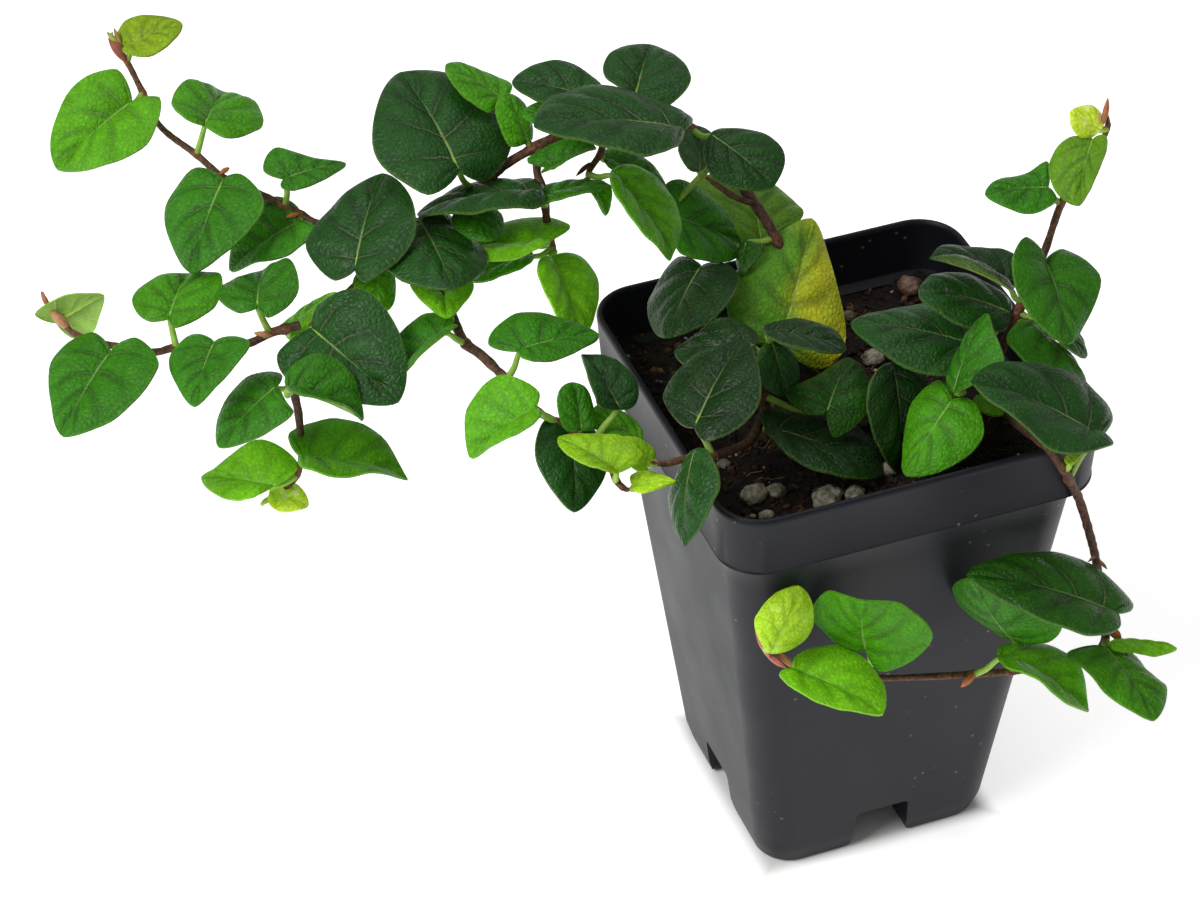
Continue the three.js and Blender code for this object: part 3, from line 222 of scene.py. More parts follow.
SPRAYS = {
    "vine_main": {
        "stems": [
            stem_along(0.95, 0.7, (796, 331, 79), (789, 290, 89), (775, 237, 98), (745, 190, 104),
                (722, 160, 109), (700, 136, 113), (680, 123, 115.5), (640, 121, 117.5),
                (600, 128, 118), (565, 134, 117.5), (545, 142, 117), (530, 150, 116),
                (505, 165, 114), (480, 187, 111.5), (430, 215, 107.5), (400, 240, 104.5),
                (370, 272, 102), (335, 305, 100), (308, 326, 98.5), rooted=True),
            stem_along(0.55, 0.45, (752, 203, 103), (735, 197, 104.5), (720, 187, 106),
                (700, 173, 108)),
            stem_along(0.7, 0.6, (539, 146, 116.5), (537, 172, 113.5), (541, 185, 112),
                (545, 205, 108.5), (547, 222, 105.5), (551, 240, 102.5), (556, 256, 100)),
            stem_along(0.6, 0.5, (604, 128, 118), (601, 152, 115), (589, 171, 112.5),
                (586, 184, 111)),
        ],
        "leaves": [
            leaf_at("old", (592, 129), (592, 98), (602, 86), (570, 62), (533, 65), (512, 81),
                (530, 96), (556, 105), (585, 112), near=0),
            leaf_at("old", (668, 121), (683, 128), (690, 114), (600, 85), (552, 97), (534, 125),
                (580, 140), (645, 153), (676, 146), near=14.5),
            leaf_at("old", (640, 121), (635, 96), (622, 88), (603, 70), (617, 48), (650, 44),
                (678, 57), (691, 80), (665, 105), near=2),
            leaf_at("old", (694, 130), (711, 134), (722, 128), (762, 132), (785, 155), (774, 186),
                (745, 190), (713, 176), (704, 150), near=5),
            # Its tone paints the grey sheen of light on it
            leaf_at("grey_painted_sheen", (701, 173), (700, 171), (690, 170), (679, 150), (684, 132), (696, 125),
                (712, 133), (718, 150), (708, 165), near=2),
            leaf_at("green", (722, 160), (664, 214), (668, 182), (698, 186), (730, 219),
                (744, 246), (733, 259), (700, 260), (678, 249), near=2),
            leaf_at("deep", (775, 240), (746, 241), (741, 241), (736, 256), (737, 268), (741, 276),
                (751, 265), (760, 251), (753, 242), near=2),
            leaf_at("old_in_painted_shade", (781, 262), (701, 266), (678, 257), (649, 298), (652, 328),
                (668, 337), (708, 321), (738, 285), (728, 264), near=4),
            leaf_at("sallow", (780, 262), (762, 248), (742, 238), (722, 213), (695, 182),
                (745, 170), (790, 197), (803, 216), (778, 233), near=-4),
            leaf_at("turning", (796, 331), (780, 345), (745, 338), (727, 303), (759, 250),
                (812, 218), (832, 268), (846, 345), (822, 369), near=15),
            leaf_at("bright", (588, 173), (612, 172), (613, 183), (628, 212), (655, 243),
                (671, 260), (681, 228), (668, 188), (630, 164), near=4, sharp=0.8),
            leaf_at("green", (600, 155), (605, 158), (606, 149), (625, 147), (652, 163),
                (669, 194), (650, 192), (628, 180), (612, 168), near=-2.5),
            leaf_at("bright", (587, 182), (590, 182), (588, 184), (595, 195), (601, 206),
                (607, 215), (611, 205), (612, 190), (603, 180), near=1),
            leaf_at("green", (539, 150), (551, 166), (526, 160), (556, 142), (580, 138),
                (596, 147), (580, 151), (560, 163), (541, 172), near=4),
            leaf_at("old", (478, 188), (459, 169), (428, 194), (377, 155), (377, 105), (400, 72),
                (465, 79), (512, 140), (484, 180), near=8),
            leaf_at("fresh", (530, 150), (504, 100), (512, 84), (485, 72), (462, 62), (446, 64),
                (450, 78), (468, 98), (490, 112), near=-1),
            leaf_at("fresh", (532, 149), (528, 141), (533, 138), (531, 116), (519, 97), (505, 93),
                (497, 103), (500, 125), (512, 146), near=1),
            leaf_at("old", (382, 260), (355, 268), (333, 279), (306, 245), (335, 202), (382, 173),
                (410, 196), (412, 240), (365, 281), near=10.5),
            leaf_at("old", (541, 185), (540, 190), (541, 183), (500, 180), (450, 191), (417, 214),
                (452, 213), (500, 208), (541, 204), near=4),
            leaf_at("old", (420, 222), (418, 218), (395, 224), (372, 243), (402, 280), (452, 288),
                (484, 270), (483, 248), (445, 212), near=3),
            leaf_at("green", (468, 195), (470, 203), (458, 206), (452, 222), (468, 238),
                (490, 240), (502, 232), (502, 214), (482, 203), near=0),
            leaf_at("green", (545, 203), (541, 198), (543, 186), (565, 181), (590, 179),
                (612, 186), (590, 191), (563, 197), (543, 204), near=4),
            leaf_at("vivid", (550, 238), (540, 244), (570, 225), (530, 218), (468, 233),
                (446, 252), (472, 260), (512, 257), (549, 242), near=5),
            leaf_at("fresh", (552, 246), (533, 254), (520, 247), (495, 258), (478, 268),
                (471, 281), (490, 279), (512, 270), (530, 262), near=2),
            leaf_at("vivid", (555, 254), (552, 257), (540, 260), (543, 287), (562, 321),
                (579, 344), (593, 320), (600, 283), (578, 254)),
            leaf_at("old", (314, 323), (312, 328), (318, 305), (365, 290), (405, 350), (398, 402),
                (350, 402), (292, 384), (277, 355), near=4.2),
            leaf_at("bright", (368, 276), (380, 268), (362, 268), (352, 284), (358, 303),
                (375, 315), (392, 306), (396, 290), (393, 272), near=1),
            leaf_at("green", (565, 133), (560, 118), (565, 108), (540, 102), (528, 106),
                (522, 113), (530, 121), (545, 124), (562, 126), near=2),
        ],
    },
    "spray_upper_left": {
        "stems": [
            stem_along(0.7, 0.45, (390, 236, 105), (355, 229, 105), (318, 224, 105.5),
                (300, 214, 106), (262, 195, 107.5), (224, 178, 109.5), (197, 155, 112),
                (160, 126, 115), (142, 91, 118), (127, 62, 120.5), (114, 44, 122.5),
                (112, 32, 124)),
        ],
        "leaves": [
            leaf_at("olive", (127, 60), (128, 46), (116, 40), (125, 20), (158, 15), (182, 23),
                (170, 43), (145, 56), (122, 50), near=1),
            leaf_at("bright", (143, 93), (131, 102), (117, 69), (76, 84), (51, 135), (57, 169),
                (100, 166), (146, 142), (160, 98)),
            leaf_at("fresh", (197, 154), (205, 124), (183, 116), (172, 99), (190, 79), (223, 91),
                (255, 101), (262, 126), (228, 136)),
            leaf_at("green", (226, 179), (223, 180), (196, 168), (165, 206), (174, 251),
                (192, 273), (226, 251), (264, 207), (241, 174), near=4),
            leaf_at("green", (303, 216), (299, 221), (297, 206), (275, 196), (244, 214),
                (229, 270), (255, 262), (290, 253), (315, 228), near=1),
            leaf_at("green", (283, 206), (286, 178), (263, 168), (275, 148), (314, 158),
                (346, 163), (326, 177), (297, 189), (281, 186)),
        ],
    },
    "spray_middle_left": {
        "stems": [
            stem_along(0.75, 0.45, (300, 325, 98.5), (285, 329, 98), (270, 333, 97.5),
                (250, 343, 97), (215, 347, 96.5), (172, 348, 96), (157, 352, 96), (110, 345, 96.5),
                (75, 334, 97), (60, 320, 98), (48, 305, 99.5), (43, 292, 101)),
        ],
        "leaves": [
            leaf_at("lime", (57, 316), (57, 322), (35, 314), (60, 297), (88, 293), (104, 295),
                (100, 315), (92, 332), (72, 336), near=-1, under=True),
            leaf_at("green", (118, 347), (110, 352), (92, 331), (53, 357), (51, 403), (63, 436),
                (118, 415), (158, 366), (136, 338)),
            leaf_at("fresh", (174, 347), (169, 317), (150, 320), (132, 301), (157, 276),
                (187, 273), (221, 275), (213, 306), (174, 327)),
            leaf_at("green", (222, 346), (214, 342), (196, 334), (169, 357), (177, 386),
                (194, 406), (218, 382), (250, 344), (231, 336), near=4),
            leaf_at("green", (269, 332), (257, 306), (240, 311), (216, 294), (233, 279),
                (262, 270), (288, 258), (298, 290), (268, 316)),
            leaf_at("vivid", (285, 329), (285, 332), (282, 325), (303, 308), (322, 297),
                (336, 292), (325, 312), (305, 335), (289, 339), near=-6),
        ],
    },
    "spray_lower_left": {
        "stems": [
            stem_along(0.75, 0.45, (304, 338, 97), (298, 365, 95), (294, 388, 92), (298, 410, 88),
                (300, 428, 84), (302, 450, 79), (297, 475, 74), (282, 491, 71), (268, 499, 70),
                (262, 506, 69)),
        ],
        "leaves": [
            leaf_at("green", (293, 384), (276, 386), (280, 373), (246, 376), (219, 414),
                (218, 447), (258, 436), (292, 413), (285, 400)),
            leaf_at("vivid", (297, 474), (272, 485), (298, 465), (262, 439), (216, 466),
                (201, 477), (213, 492), (240, 500), (258, 494)),
            leaf_at("bright", (301, 455), (302, 456), (289, 433), (330, 418), (376, 431),
                (408, 479), (380, 472), (340, 475), (303, 466), sharp=0.9, near=5.5),
            leaf_at("newest", (270, 498), (270, 492), (272, 483), (290, 481), (304, 491),
                (309, 505), (298, 510), (280, 511), (269, 503), near=1),
            leaf_at("green", (295, 386), (288, 387), (288, 370), (322, 353), (352, 375),
                (364, 419), (345, 404), (318, 398), (292, 390), near=13),
        ],
    },
    "spray_front_left": {
        "stems": [
            stem_along(0.9, 0.5, (425, 262, 103.5), (434, 287, 102), (445, 303, 101),
                (453, 318, 100), (465, 343, 98.5), (480, 354, 98), (500, 373, 97), (520, 393, 96),
                (537, 411, 95), (560, 424, 94), (580, 434, 93), (600, 455, 91.5), (612, 470, 90.5),
                (618, 483, 89.5), (628, 490, 89), (637, 486, 89.5)),
        ],
        "leaves": [
            leaf_at("green", (464, 343), (446, 330), (452, 316), (420, 314), (391, 348),
                (394, 384), (409, 366), (433, 341), (457, 325)),
            leaf_at("vivid", (435, 286), (442, 284), (420, 278), (410, 284), (428, 305),
                (447, 318), (462, 305), (474, 284), (460, 278), near=-2),
            leaf_at("bright", (556, 422), (534, 407), (537, 390), (497, 375), (467, 410),
                (469, 457), (490, 446), (518, 432), (539, 417), near=4),
            leaf_at("green", (506, 378), (518, 350), (488, 342), (515, 313), (562, 318),
                (599, 334), (578, 350), (540, 362), (522, 356)),
            leaf_at("green", (574, 431), (582, 430), (566, 429), (558, 405), (561, 388),
                (572, 382), (586, 387), (593, 405), (597, 428), near=1),
            leaf_at("old", (592, 447), (620, 408), (635, 405), (638, 384), (613, 357), (582, 354),
                (586, 368), (594, 390), (600, 405), near=-1, sharp=1),
            leaf_at("bright", (602, 458), (643, 440), (640, 426), (622, 411), (600, 404),
                (589, 415), (597, 428), (615, 440), (636, 446), near=-7),
            leaf_at("lime", (616, 478), (618, 471), (643, 455), (622, 437), (590, 433), (558, 437),
                (570, 455), (590, 465), (606, 470), near=5),
            leaf_at("old", (570, 430), (571, 430), (548, 418), (535, 450), (551, 487), (575, 512),
                (597, 491), (608, 460), (592, 428), near=-1),
            leaf_at("tender", (636, 486), (634, 486), (630, 476), (646, 471), (663, 475),
                (676, 481), (662, 486), (648, 491), (637, 491), near=1),
        ],
    },
    "tuft_front": {
        "stems": [
            stem_along(0.9, 0.6, (767, 429, 79), (764, 402, 86), (763, 378, 91), (768, 352, 94),
                (772, 335, 96), rooted=True),
            stem_along(0.8, 0.5, (765, 408, 85), (752, 438, 84), (737, 448, 86.5),
                (710, 456, 89.5), (684, 459, 91.5), (664, 464, 91.5), (651, 462, 93)),
        ],
        "leaves": [
            leaf_at("old", (690, 458), (694, 450), (686, 462), (669, 496), (672, 524), (684, 546),
                (708, 513), (719, 481), (707, 450), sharp=0.9),
            leaf_at("old_in_painted_shade", (711, 455), (695, 426), (680, 423), (663, 395), (688, 360),
                (743, 339), (757, 362), (757, 408), (707, 441), near=4),
            leaf_at("old_in_painted_shade", (767, 354), (755, 345), (757, 333), (722, 317), (690, 338),
                (674, 351), (685, 364), (715, 372), (750, 360), near=-0.5),
            leaf_at("old", (770, 345), (772, 341), (760, 350), (757, 372), (768, 390), (784, 396),
                (797, 384), (799, 366), (784, 343), near=1),
            leaf_at("old_in_painted_shade", (771, 338), (767, 331), (764, 325), (800, 319), (833, 329),
                (847, 349), (826, 352), (798, 346), (770, 337), near=5),
            leaf_at("deep", (765, 398), (827, 411), (806, 412), (785, 392), (815, 377), (848, 357),
                (866, 374), (868, 412), (834, 435), near=5),
            leaf_at("old_in_painted_shade", (767, 424), (767, 427), (762, 408), (840, 415), (876, 445),
                (882, 474), (855, 478), (812, 468), (772, 438), near=9),
            leaf_at("lime", (652, 462), (651, 463), (656, 454), (645, 441), (630, 436), (612, 440),
                (625, 458), (636, 470), (648, 470), near=-5.5),
        ],
    },
    "tuft_right": {
        "stems": [
            stem_along(0.9, 0.6, (946, 397, 79), (951, 388, 84), (963, 374, 88), (980, 352, 92),
                (1000, 326, 95), rooted=True),
        ],
        "leaves": [
            leaf_at("old", (982, 350), (978, 346), (979, 320), (930, 305), (880, 311), (851, 322),
                (872, 345), (918, 370), (960, 376), near=1),
            leaf_at("old", (992, 336), (1010, 312), (1008, 296), (965, 273), (935, 274),
                (919, 288), (925, 302), (962, 325), (1003, 330), near=1.5),
            leaf_at("green", (957, 381), (953, 392), (946, 384), (953, 360), (968, 333),
                (986, 313), (993, 330), (1003, 362), (975, 382), near=15.2),
            leaf_at("fresh", (950, 390), (952, 400), (938, 380), (913, 402), (902, 455),
                (906, 476), (945, 470), (983, 435), (972, 400), near=14.5),
            leaf_at("old_in_painted_shade", (946, 396), (893, 363), (876, 372), (868, 410), (882, 452),
                (900, 473), (925, 450), (940, 405), (915, 368), ratio=0.4, near=14),
        ],
    },
    "shoot_right": {
        "stems": [
            stem_along(0.9, 0.45, (984, 391, 79), (992, 370, 86), (1008, 335, 93),
                (1022, 303, 98.5), (1044, 253, 107), (1063, 200, 115.5), (1085, 165, 121),
                (1103, 139, 126), (1108, 125, 128), (1107, 111, 130.5), rooted=True),
        ],
        "leaves": [
            leaf_at("old_in_painted_shade", (1021, 305), (1014, 288), (1013, 253), (985, 248), (945, 244),
                (930, 257), (952, 255), (980, 264), (1006, 284), near=2, sharp=0.8),
            leaf_at("green", (1035, 277), (1046, 262), (1027, 237), (1013, 262), (1030, 314),
                (1067, 344), (1085, 325), (1100, 274), (1063, 249), near=4),
            leaf_at("deep", (1018, 313), (1040, 316), (1060, 320), (1078, 332), (1086, 347),
                (1087, 357), (1076, 353), (1060, 340), (1045, 325), near=1),
            leaf_at("green", (1014, 322), (1029, 319), (1018, 322), (1009, 338), (1035, 368),
                (1085, 386), (1078, 368), (1050, 348), (1034, 326), near=1),
            leaf_at("newest", (1107, 129), (1101, 130), (1104, 117), (1092, 105), (1077, 107),
                (1071, 112), (1072, 126), (1082, 137), (1093, 137), near=1),
            leaf_at("sallow", (1103, 140), (1093, 139), (1070, 137), (1049, 163), (1058, 195),
                (1078, 205), (1090, 187), (1103, 158), (1105, 135)),
            leaf_at("green", (1060, 207), (1048, 187), (1047, 161), (1025, 174), (998, 179),
                (985, 193), (1002, 205), (1033, 212), (1057, 199), near=2),
        ],
    },
    "trailer_right": {
        "stems": [
            stem_along(0.9, 0.45, (999, 411, 79), (1015, 422, 84.5), (1035, 437, 88.6),
                (1050, 449, 89.4), (1063, 468, 86.8), (1072, 485, 81), (1079, 499, 76),
                (1090, 535, 69), (1098, 570, 61), (1103, 610, 53), (1105, 640, 47),
                (1094, 655, 44.5), (1070, 663, 44), (1040, 668, 44), (1015, 671, 44.5),
                (960, 675, 46), (920, 677, 47), (880, 678, 49.5), (830, 674, 51.5),
                (795, 668, 53.5), (783, 664, 54.5), (770, 655, 56), (762, 643, 58), (760, 632, 60),
                rooted=True),
        ],
        "leaves": [
            leaf_at("old", (1068, 478), (1098, 435), (1113, 413), (1075, 375), (1005, 361),
                (972, 380), (1010, 413), (1060, 451), (1114, 443), near=5),
            leaf_at("vivid", (1003, 415), (975, 397), (974, 402), (985, 412), (1000, 415),
                (1010, 412), (1004, 405), (994, 398), (982, 394), near=1),
            leaf_at("olive", (1063, 468), (1069, 463), (1064, 461), (1066, 456), (1072, 452),
                (1081, 451), (1080, 455), (1077, 459), (1072, 464), near=2),
            leaf_at("deep", (1104, 630), (1115, 612), (1134, 603), (1072, 555), (1010, 555),
                (967, 574), (1022, 609), (1085, 634), (1120, 627), ratio=0.36, near=14.5),
            leaf_at("green", (1008, 671), (1012, 640), (995, 627), (965, 608), (952, 589),
                (972, 579), (1020, 600), (1060, 628), (1045, 643), flip=True, ratio=0.6, near=7.5),
            leaf_at("bright", (974, 675), (1000, 655), (1002, 645), (1048, 643), (1080, 665),
                (1089, 711), (1065, 700), (1035, 677), (1005, 664), near=5, sharp=0.9),
            leaf_at("fresh", (1105, 641), (1106, 647), (1068, 652), (1090, 673), (1120, 703),
                (1155, 720), (1167, 690), (1150, 672), (1128, 650)),
            leaf_at("vivid", (1105, 638), (1110, 643), (1114, 641), (1135, 640), (1158, 644),
                (1177, 648), (1158, 654), (1135, 652), (1112, 648), ratio=0.2, near=3),
            leaf_at("fresh", (868, 677), (866, 651), (835, 643), (811, 617), (826, 593),
                (861, 601), (905, 607), (932, 640), (880, 672), flip=True, ratio=0.62, near=7.5),
            leaf_at("vivid", (799, 669), (795, 669), (797, 655), (845, 645), (884, 685),
                (883, 714), (850, 709), (812, 699), (780, 673), near=6),
            leaf_at("tender", (768, 653), (770, 653), (760, 640), (757, 618), (775, 596),
                (799, 586), (811, 600), (812, 630), (790, 650), flip=True, near=8.5),
        ],
    },
}


def colour(code):
    """An sRGB hex code as a linear colour."""
    parts = [int(code[i : i + 2], 16) / 255 for i in (1, 3, 5)]
    return (*(c / 12.92 if c <= 0.04045 else ((c + 0.055) / 1.055) ** 2.4 for c in parts), 1)


NODE_TINT = colour("#6e4128")
PETIOLE_TINT = colour("#9cc04a")


def blend_colours(a, b, share):
    return [x + (y - x) * share for x, y in zip(a, b)]


def clamp(value, low=0.0, high=1.0):
    return max(low, min(high, value))


# Where a pixel of the reference picture lies in space


def line_of_sight(pixel):
    return (
        -towards_viewer
        + picture_right * ((pixel[0] - VIEW_MIDDLE[0]) / VIEW_FOCAL)
        + picture_up * ((VIEW_MIDDLE[1] - pixel[1]) / VIEW_FOCAL)
    )


def at_depth(pixel, depth):
    return VIEW_EYE + line_of_sight(pixel) * depth


def at_height(place):
    sight = line_of_sight(place[:2])
    return at_depth(place[:2], (place[2] - VIEW_EYE.z) / sight.z)


def depth_of(point):
    return (VIEW_EYE - point).dot(towards_viewer)


def pixel_of(point):
    offset = point - VIEW_EYE
    scale = VIEW_FOCAL / depth_of(point)
    return (
        VIEW_MIDDLE[0] + scale * offset.dot(picture_right),
        VIEW_MIDDLE[1] - scale * offset.dot(picture_up),
    )


# Curves


def curve_point(points, t):
    """A point of the centripetal Catmull-Rom curve through points, t from 0 to 1."""
    place = (len(points) - 1) * clamp(t)
    k = min(int(place), len(points) - 2)
    w = place - k
    b, c = points[k], points[k + 1]
    a = points[k - 1] if k > 0 else b * 2 - c
    d = points[k + 2] if k + 2 < len(points) else c * 2 - b
    gap = (c - b).length ** 0.5
    gap = gap if gap > 1e-4 else 1
    before = (b - a).length ** 0.5 or gap
    after = (d - c).length ** 0.5 or gap
    leaving = ((b - a) / before - (c - a) / (before + gap) + (c - b) / gap) * gap
    arriving = ((c - b) / gap - (d - b) / (gap + after) + (d - c) / after) * gap
    return (
        b
        + leaving * w
        + (b * -3 + c * 3 - leaving * 2 - arriving) * w**2
        + (b * 2 - c * 2 + leaving + arriving) * w**3
    )


def spaced(points, steps):
    """steps + 1 points of the curve through points, evenly far apart along it."""
    fine = [curve_point(points, i / 200) for i in range(201)]
    reach = [0.0]
    for a, b in zip(fine, fine[1:]):
        reach.append(reach[-1] + (b - a).length)
    found = []
    k = 0
    for i in range(steps + 1):
        goal = reach[-1] * i / steps
        while k < 199 and reach[k + 1] < goal:
            k += 1
        share = (goal - reach[k]) / (reach[k + 1] - reach[k])
        found.append(fine[k].lerp(fine[k + 1], clamp(share)))
    return found


def stem_points(stem):
    """A rooted stem goes straight down from its first point into the soil."""
    points = [at_height(place) for place in stem["path"]]
    if stem.get("rooted"):
        points.insert(0, points[0] - Vector((0, 0, ROOT_DEPTH)))
    return points


def nearest_on_stems(stems, pixel):
    """The point of the stems' coarse form that is seen nearest to a pixel."""
    best, least = None, 1e9
    for stem in stems:
        joints = spaced(stem_points(stem), round(len(stem["path"]) * STEPS_PER_POINT))
        for a, b in zip(joints, joints[1:]):
            for share in (0, 0.25, 0.5, 0.75):
                point = a.lerp(b, share)
                seen = pixel_of(point)
                away = math.hypot(seen[0] - pixel[0], seen[1] - pixel[1])
                if away < least:
                    best, least = point, away
    return best


# Blades


def place_blade(pick, stem_point):
    """How a blade is turned in space, from where its base, tip and sides are seen.

    A blade is alike on both sides of its midrib. Of the two answers the more level one is taken,
    unless the pick says flip. A blade that is seen from below says under.
    """
    base, lobe, side, shoulder, tip, shoulder2, side2, lobe2 = pick["outline"]
    pairs = [(lobe, lobe2, LOBE), (side, side2, SIDE), (shoulder, shoulder2, SHOULDER)]
    depth = depth_of(stem_point) - pick.get("near", USUAL_REACH)
    scale = depth / VIEW_FOCAL

    def in_plane(a, b):
        return Vector(((b[0] - a[0]) * scale, (a[1] - b[1]) * scale))

    along = in_plane(base, tip)
    spread = LOBE[0] + SIDE[0] + SHOULDER[0]
    across = sum((in_plane(a, b) for a, b, _ in pairs), Vector((0, 0))) / (2 * spread)

    ratio = pick.get("ratio", USUAL_RATIO)
    skew = along.dot(across)
    spare = ratio**2 * along.length_squared - across.length_squared
    root = math.sqrt(spare**2 + 4 * ratio**2 * skew**2)
    tip_nearer = math.sqrt(max(root - spare, 1e-6)) / (math.sqrt(2) * ratio)
    side_nearer = -skew / tip_nearer if abs(skew) > 1e-3 else math.sqrt(max(spare, 0))
    answers = []
    for sign in (1, -1):
        start = at_depth(base, depth)
        axis = at_depth(tip, depth - sign * tip_nearer) - start
        span = picture_right * across.x + picture_up * across.y
        span += towards_viewer * (sign * side_nearer)
        span -= axis * (span.dot(axis) / axis.length_squared)
        normal = axis.cross(span).normalized()
        if (normal.dot(towards_viewer) > 0) == bool(pick.get("under")):
            normal.negate()
        sideways = axis.normalized().cross(normal)
        answers.append(
            {
                "base": start,
                "axis": axis,
                "side": sideways,
                "normal": normal,
                "half": span.length,
                "turned": sideways.dot(span) < 0,
            }
        )
    answers.sort(key=lambda answer: -answer["normal"].z)
    blade = answers[1 if pick.get("flip") else 0]

    off = Vector((0, 0))
    for a, b, at in pairs:
        middle = ((a[0] + b[0]) / 2, (a[1] + b[1]) / 2)
        off += (in_plane(base, middle) - along * at[1]) / len(pairs)
    upright = Vector((blade["normal"].dot(picture_right), blade["normal"].dot(picture_up)))
    aa = along.length_squared * 1.3
    an = along.dot(upright)
    nn = upright.length_squared + 0.05
    lift = (off.dot(upright) * aa - off.dot(along) * an) / (aa * nn - an * an)
    lifted = lift - 0.45 * BLADE_ARCH * blade["axis"].length
    blade["fold"] = clamp(lifted / (0.8 * blade["half"]), -0.35, 0.9)

    tip_point = blade["base"] + blade["axis"]
    sides = {}
    for sign in (1, -1):
        which = 0 if (sign > 0) == blade["turned"] else 1
        sides[sign] = []
        for pair in pairs:
            stands_for = on_blade(blade, sign * pair[2][0], pair[2][1])
            sides[sign].append(at_depth(pair[which], depth_of(stands_for)))
    sharp = pick.get("sharp", USUAL_SHARPNESS)
    blade["margins"] = {}
    for sign, points in sides.items():
        before = points[0] + blade["axis"] * NOTCH_TURN
        after = sides[-sign][2].lerp(tip_point * 2 - points[2], sharp)
        blade["margins"][sign] = [before, blade["base"], *points, tip_point, after]
    return blade


def on_blade(blade, x, y):
    """A point of the blade: x in half widths from the midrib, y in lengths from the base."""
    arch = 4 * BLADE_ARCH * y * (1 - y) * blade["axis"].length
    raised = arch + blade["fold"] * abs(x) * blade["half"]
    return (
        blade["base"]
        + blade["axis"] * y
        + blade["side"] * (x * blade["half"])
        + blade["normal"] * raised
    )


def margin_point(margin, t):
    """A point of one side's margin. The curve has one point more at either end."""
    return curve_point(margin, (1 + 4 * t) / 6)


def midrib_share(t):
    """The place on the midrib that the flesh at margin place t grows from."""
    return t**2.2


def swelling_between_veins(path):
    """1 midway between two side veins and 0 on them."""
    stops = (0, *SIDE_VEINS, 1 + VEIN_SLOPE)
    for a, b in zip(stops, stops[1:]):
        if path < b:
            return math.sin(math.pi * clamp((path - a) / (b - a))) ** 0.7
    return 0


def blade_point(blade, s, sign, t, mood):
    """A point of a blade's upper face: s from midrib to margin, t from base to tip."""
    length = blade["axis"].length
    normal = blade["normal"]
    middle = on_blade(blade, 0, midrib_share(t))
    edge = margin_point(blade["margins"][sign], t)
    width = (edge - middle).length
    fullness = min(1, 1.2 * width / blade["half"])
    dome = 4 * s * (1 - s) * BLADE_DOME * length * fullness
    path = t - VEIN_SLOPE * s
    quilt = QUILT * length * swelling_between_veins(path) * 4 * s * (1 - s) * fullness
    groove = -GROOVE_DEPTH * math.exp(-((s * width / GROOVE_WIDTH) ** 2)) * fullness
    wave = math.sin(math.tau * (2.6 * t + mood[0] + 0.3 * sign)) * WAVE * length
    wave += math.sin(math.tau * (6.3 * t + mood[1])) * RIPPLE * length
    wave *= s**3 * fullness * math.sin(math.pi * t) ** 0.5
    buckle = BUCKLE * length * noise.noise(edge * 0.11 + middle * 0.05) * s * fullness
    return middle.lerp(edge, s) + normal * (dome + quilt + groove + wave + buckle)


class Layers:
    """What a mesh of the plant holds for each point, besides its place."""

    def __init__(self, mesh):
        self.tint = mesh.verts.layers.float_color.new("tint")
        self.across = mesh.verts.layers.float.new("across")
        self.vein_path = mesh.verts.layers.float.new("vein_path")
        self.ageing = mesh.verts.layers.float.new("ageing")


def of_type(items, kind):
    return [item for item in items if isinstance(item, kind)]


def grow_ring(mesh, edges):
    """Extrudes a loop of edges, and gives the new loop's points and edges."""
    grown = bmesh.ops.extrude_edge_only(mesh, edges=edges)["geom"]
    return of_type(grown, bmesh.types.BMVert), of_type(grown, bmesh.types.BMEdge)


def ageing_of(pick, s, t, point):
    """How far a blade's flesh has yellowed (0 to 1), or browned (above 1), at a point of it.

    It yellows first on its right side as seen, and towards its tip.
    """
    if pick["tone"] != "turning":
        return 0
    base, tip = pick["outline"][0], pick["outline"][4]
    seen = pixel_of(point)
    rightwards = (seen[0] - base[0] - (tip[0] - base[0]) * t) / 45
    drift = noise.noise(point * 0.16)
    if s > 0.8 and rightwards > 0.5 and drift > 0.2:
        return 1.5
    return clamp(0.05 + 0.6 * rightwards + 0.45 * t * t + 0.5 * drift)


def add_blade(mesh, layers, pick, blade, chance):
    steps_across = 2 * (len(ACROSS_STOPS) - 1)
    small = blade["axis"].length < 9
    steps_along = ALONG_STEPS // 2 if small else ALONG_STEPS
    made = bmesh.ops.create_grid(
        mesh, x_segments=steps_across, y_segments=steps_along, size=1
    )["verts"]
    mood = (chance.random(), chance.random())
    shade = 0.9 + 0.2 * chance.random()
    tint = [c * shade for c in colour(TONES[pick["tone"]])[:3]]
    for vert in made:
        column = round((vert.co.x + 1) / 2 * steps_across) - steps_across // 2
        row = round((vert.co.y + 1) / 2 * steps_along)
        s = ACROSS_STOPS[abs(column)]
        t = row / steps_along
        sign = 1 if column >= 0 else -1
        point = blade_point(blade, s, sign, t, mood)
        vert.co = point * MM
        vert[layers.tint] = (*tint, 1)
        vert[layers.across] = s
        vert[layers.vein_path] = t - VEIN_SLOPE * s + 0.03 * sign * (mood[0] - 0.5)
        vert[layers.ageing] = ageing_of(pick, s, t, point)
    bmesh.ops.remove_doubles(mesh, verts=made, dist=1e-7)
    made = [vert for vert in made if vert.is_valid]
    upper = list({face for vert in made for face in vert.link_faces})
    grown = bmesh.ops.extrude_face_region(mesh, geom=upper)["geom"]
    lower = of_type(grown, bmesh.types.BMVert)
    depth = BLADE_THICKNESS * math.sqrt(1 + blade["fold"] ** 2) * MM
    bmesh.ops.translate(mesh, verts=lower, vec=-blade["normal"] * depth)
    for face in of_type(grown, bmesh.types.BMFace):
        face.material_index = 1


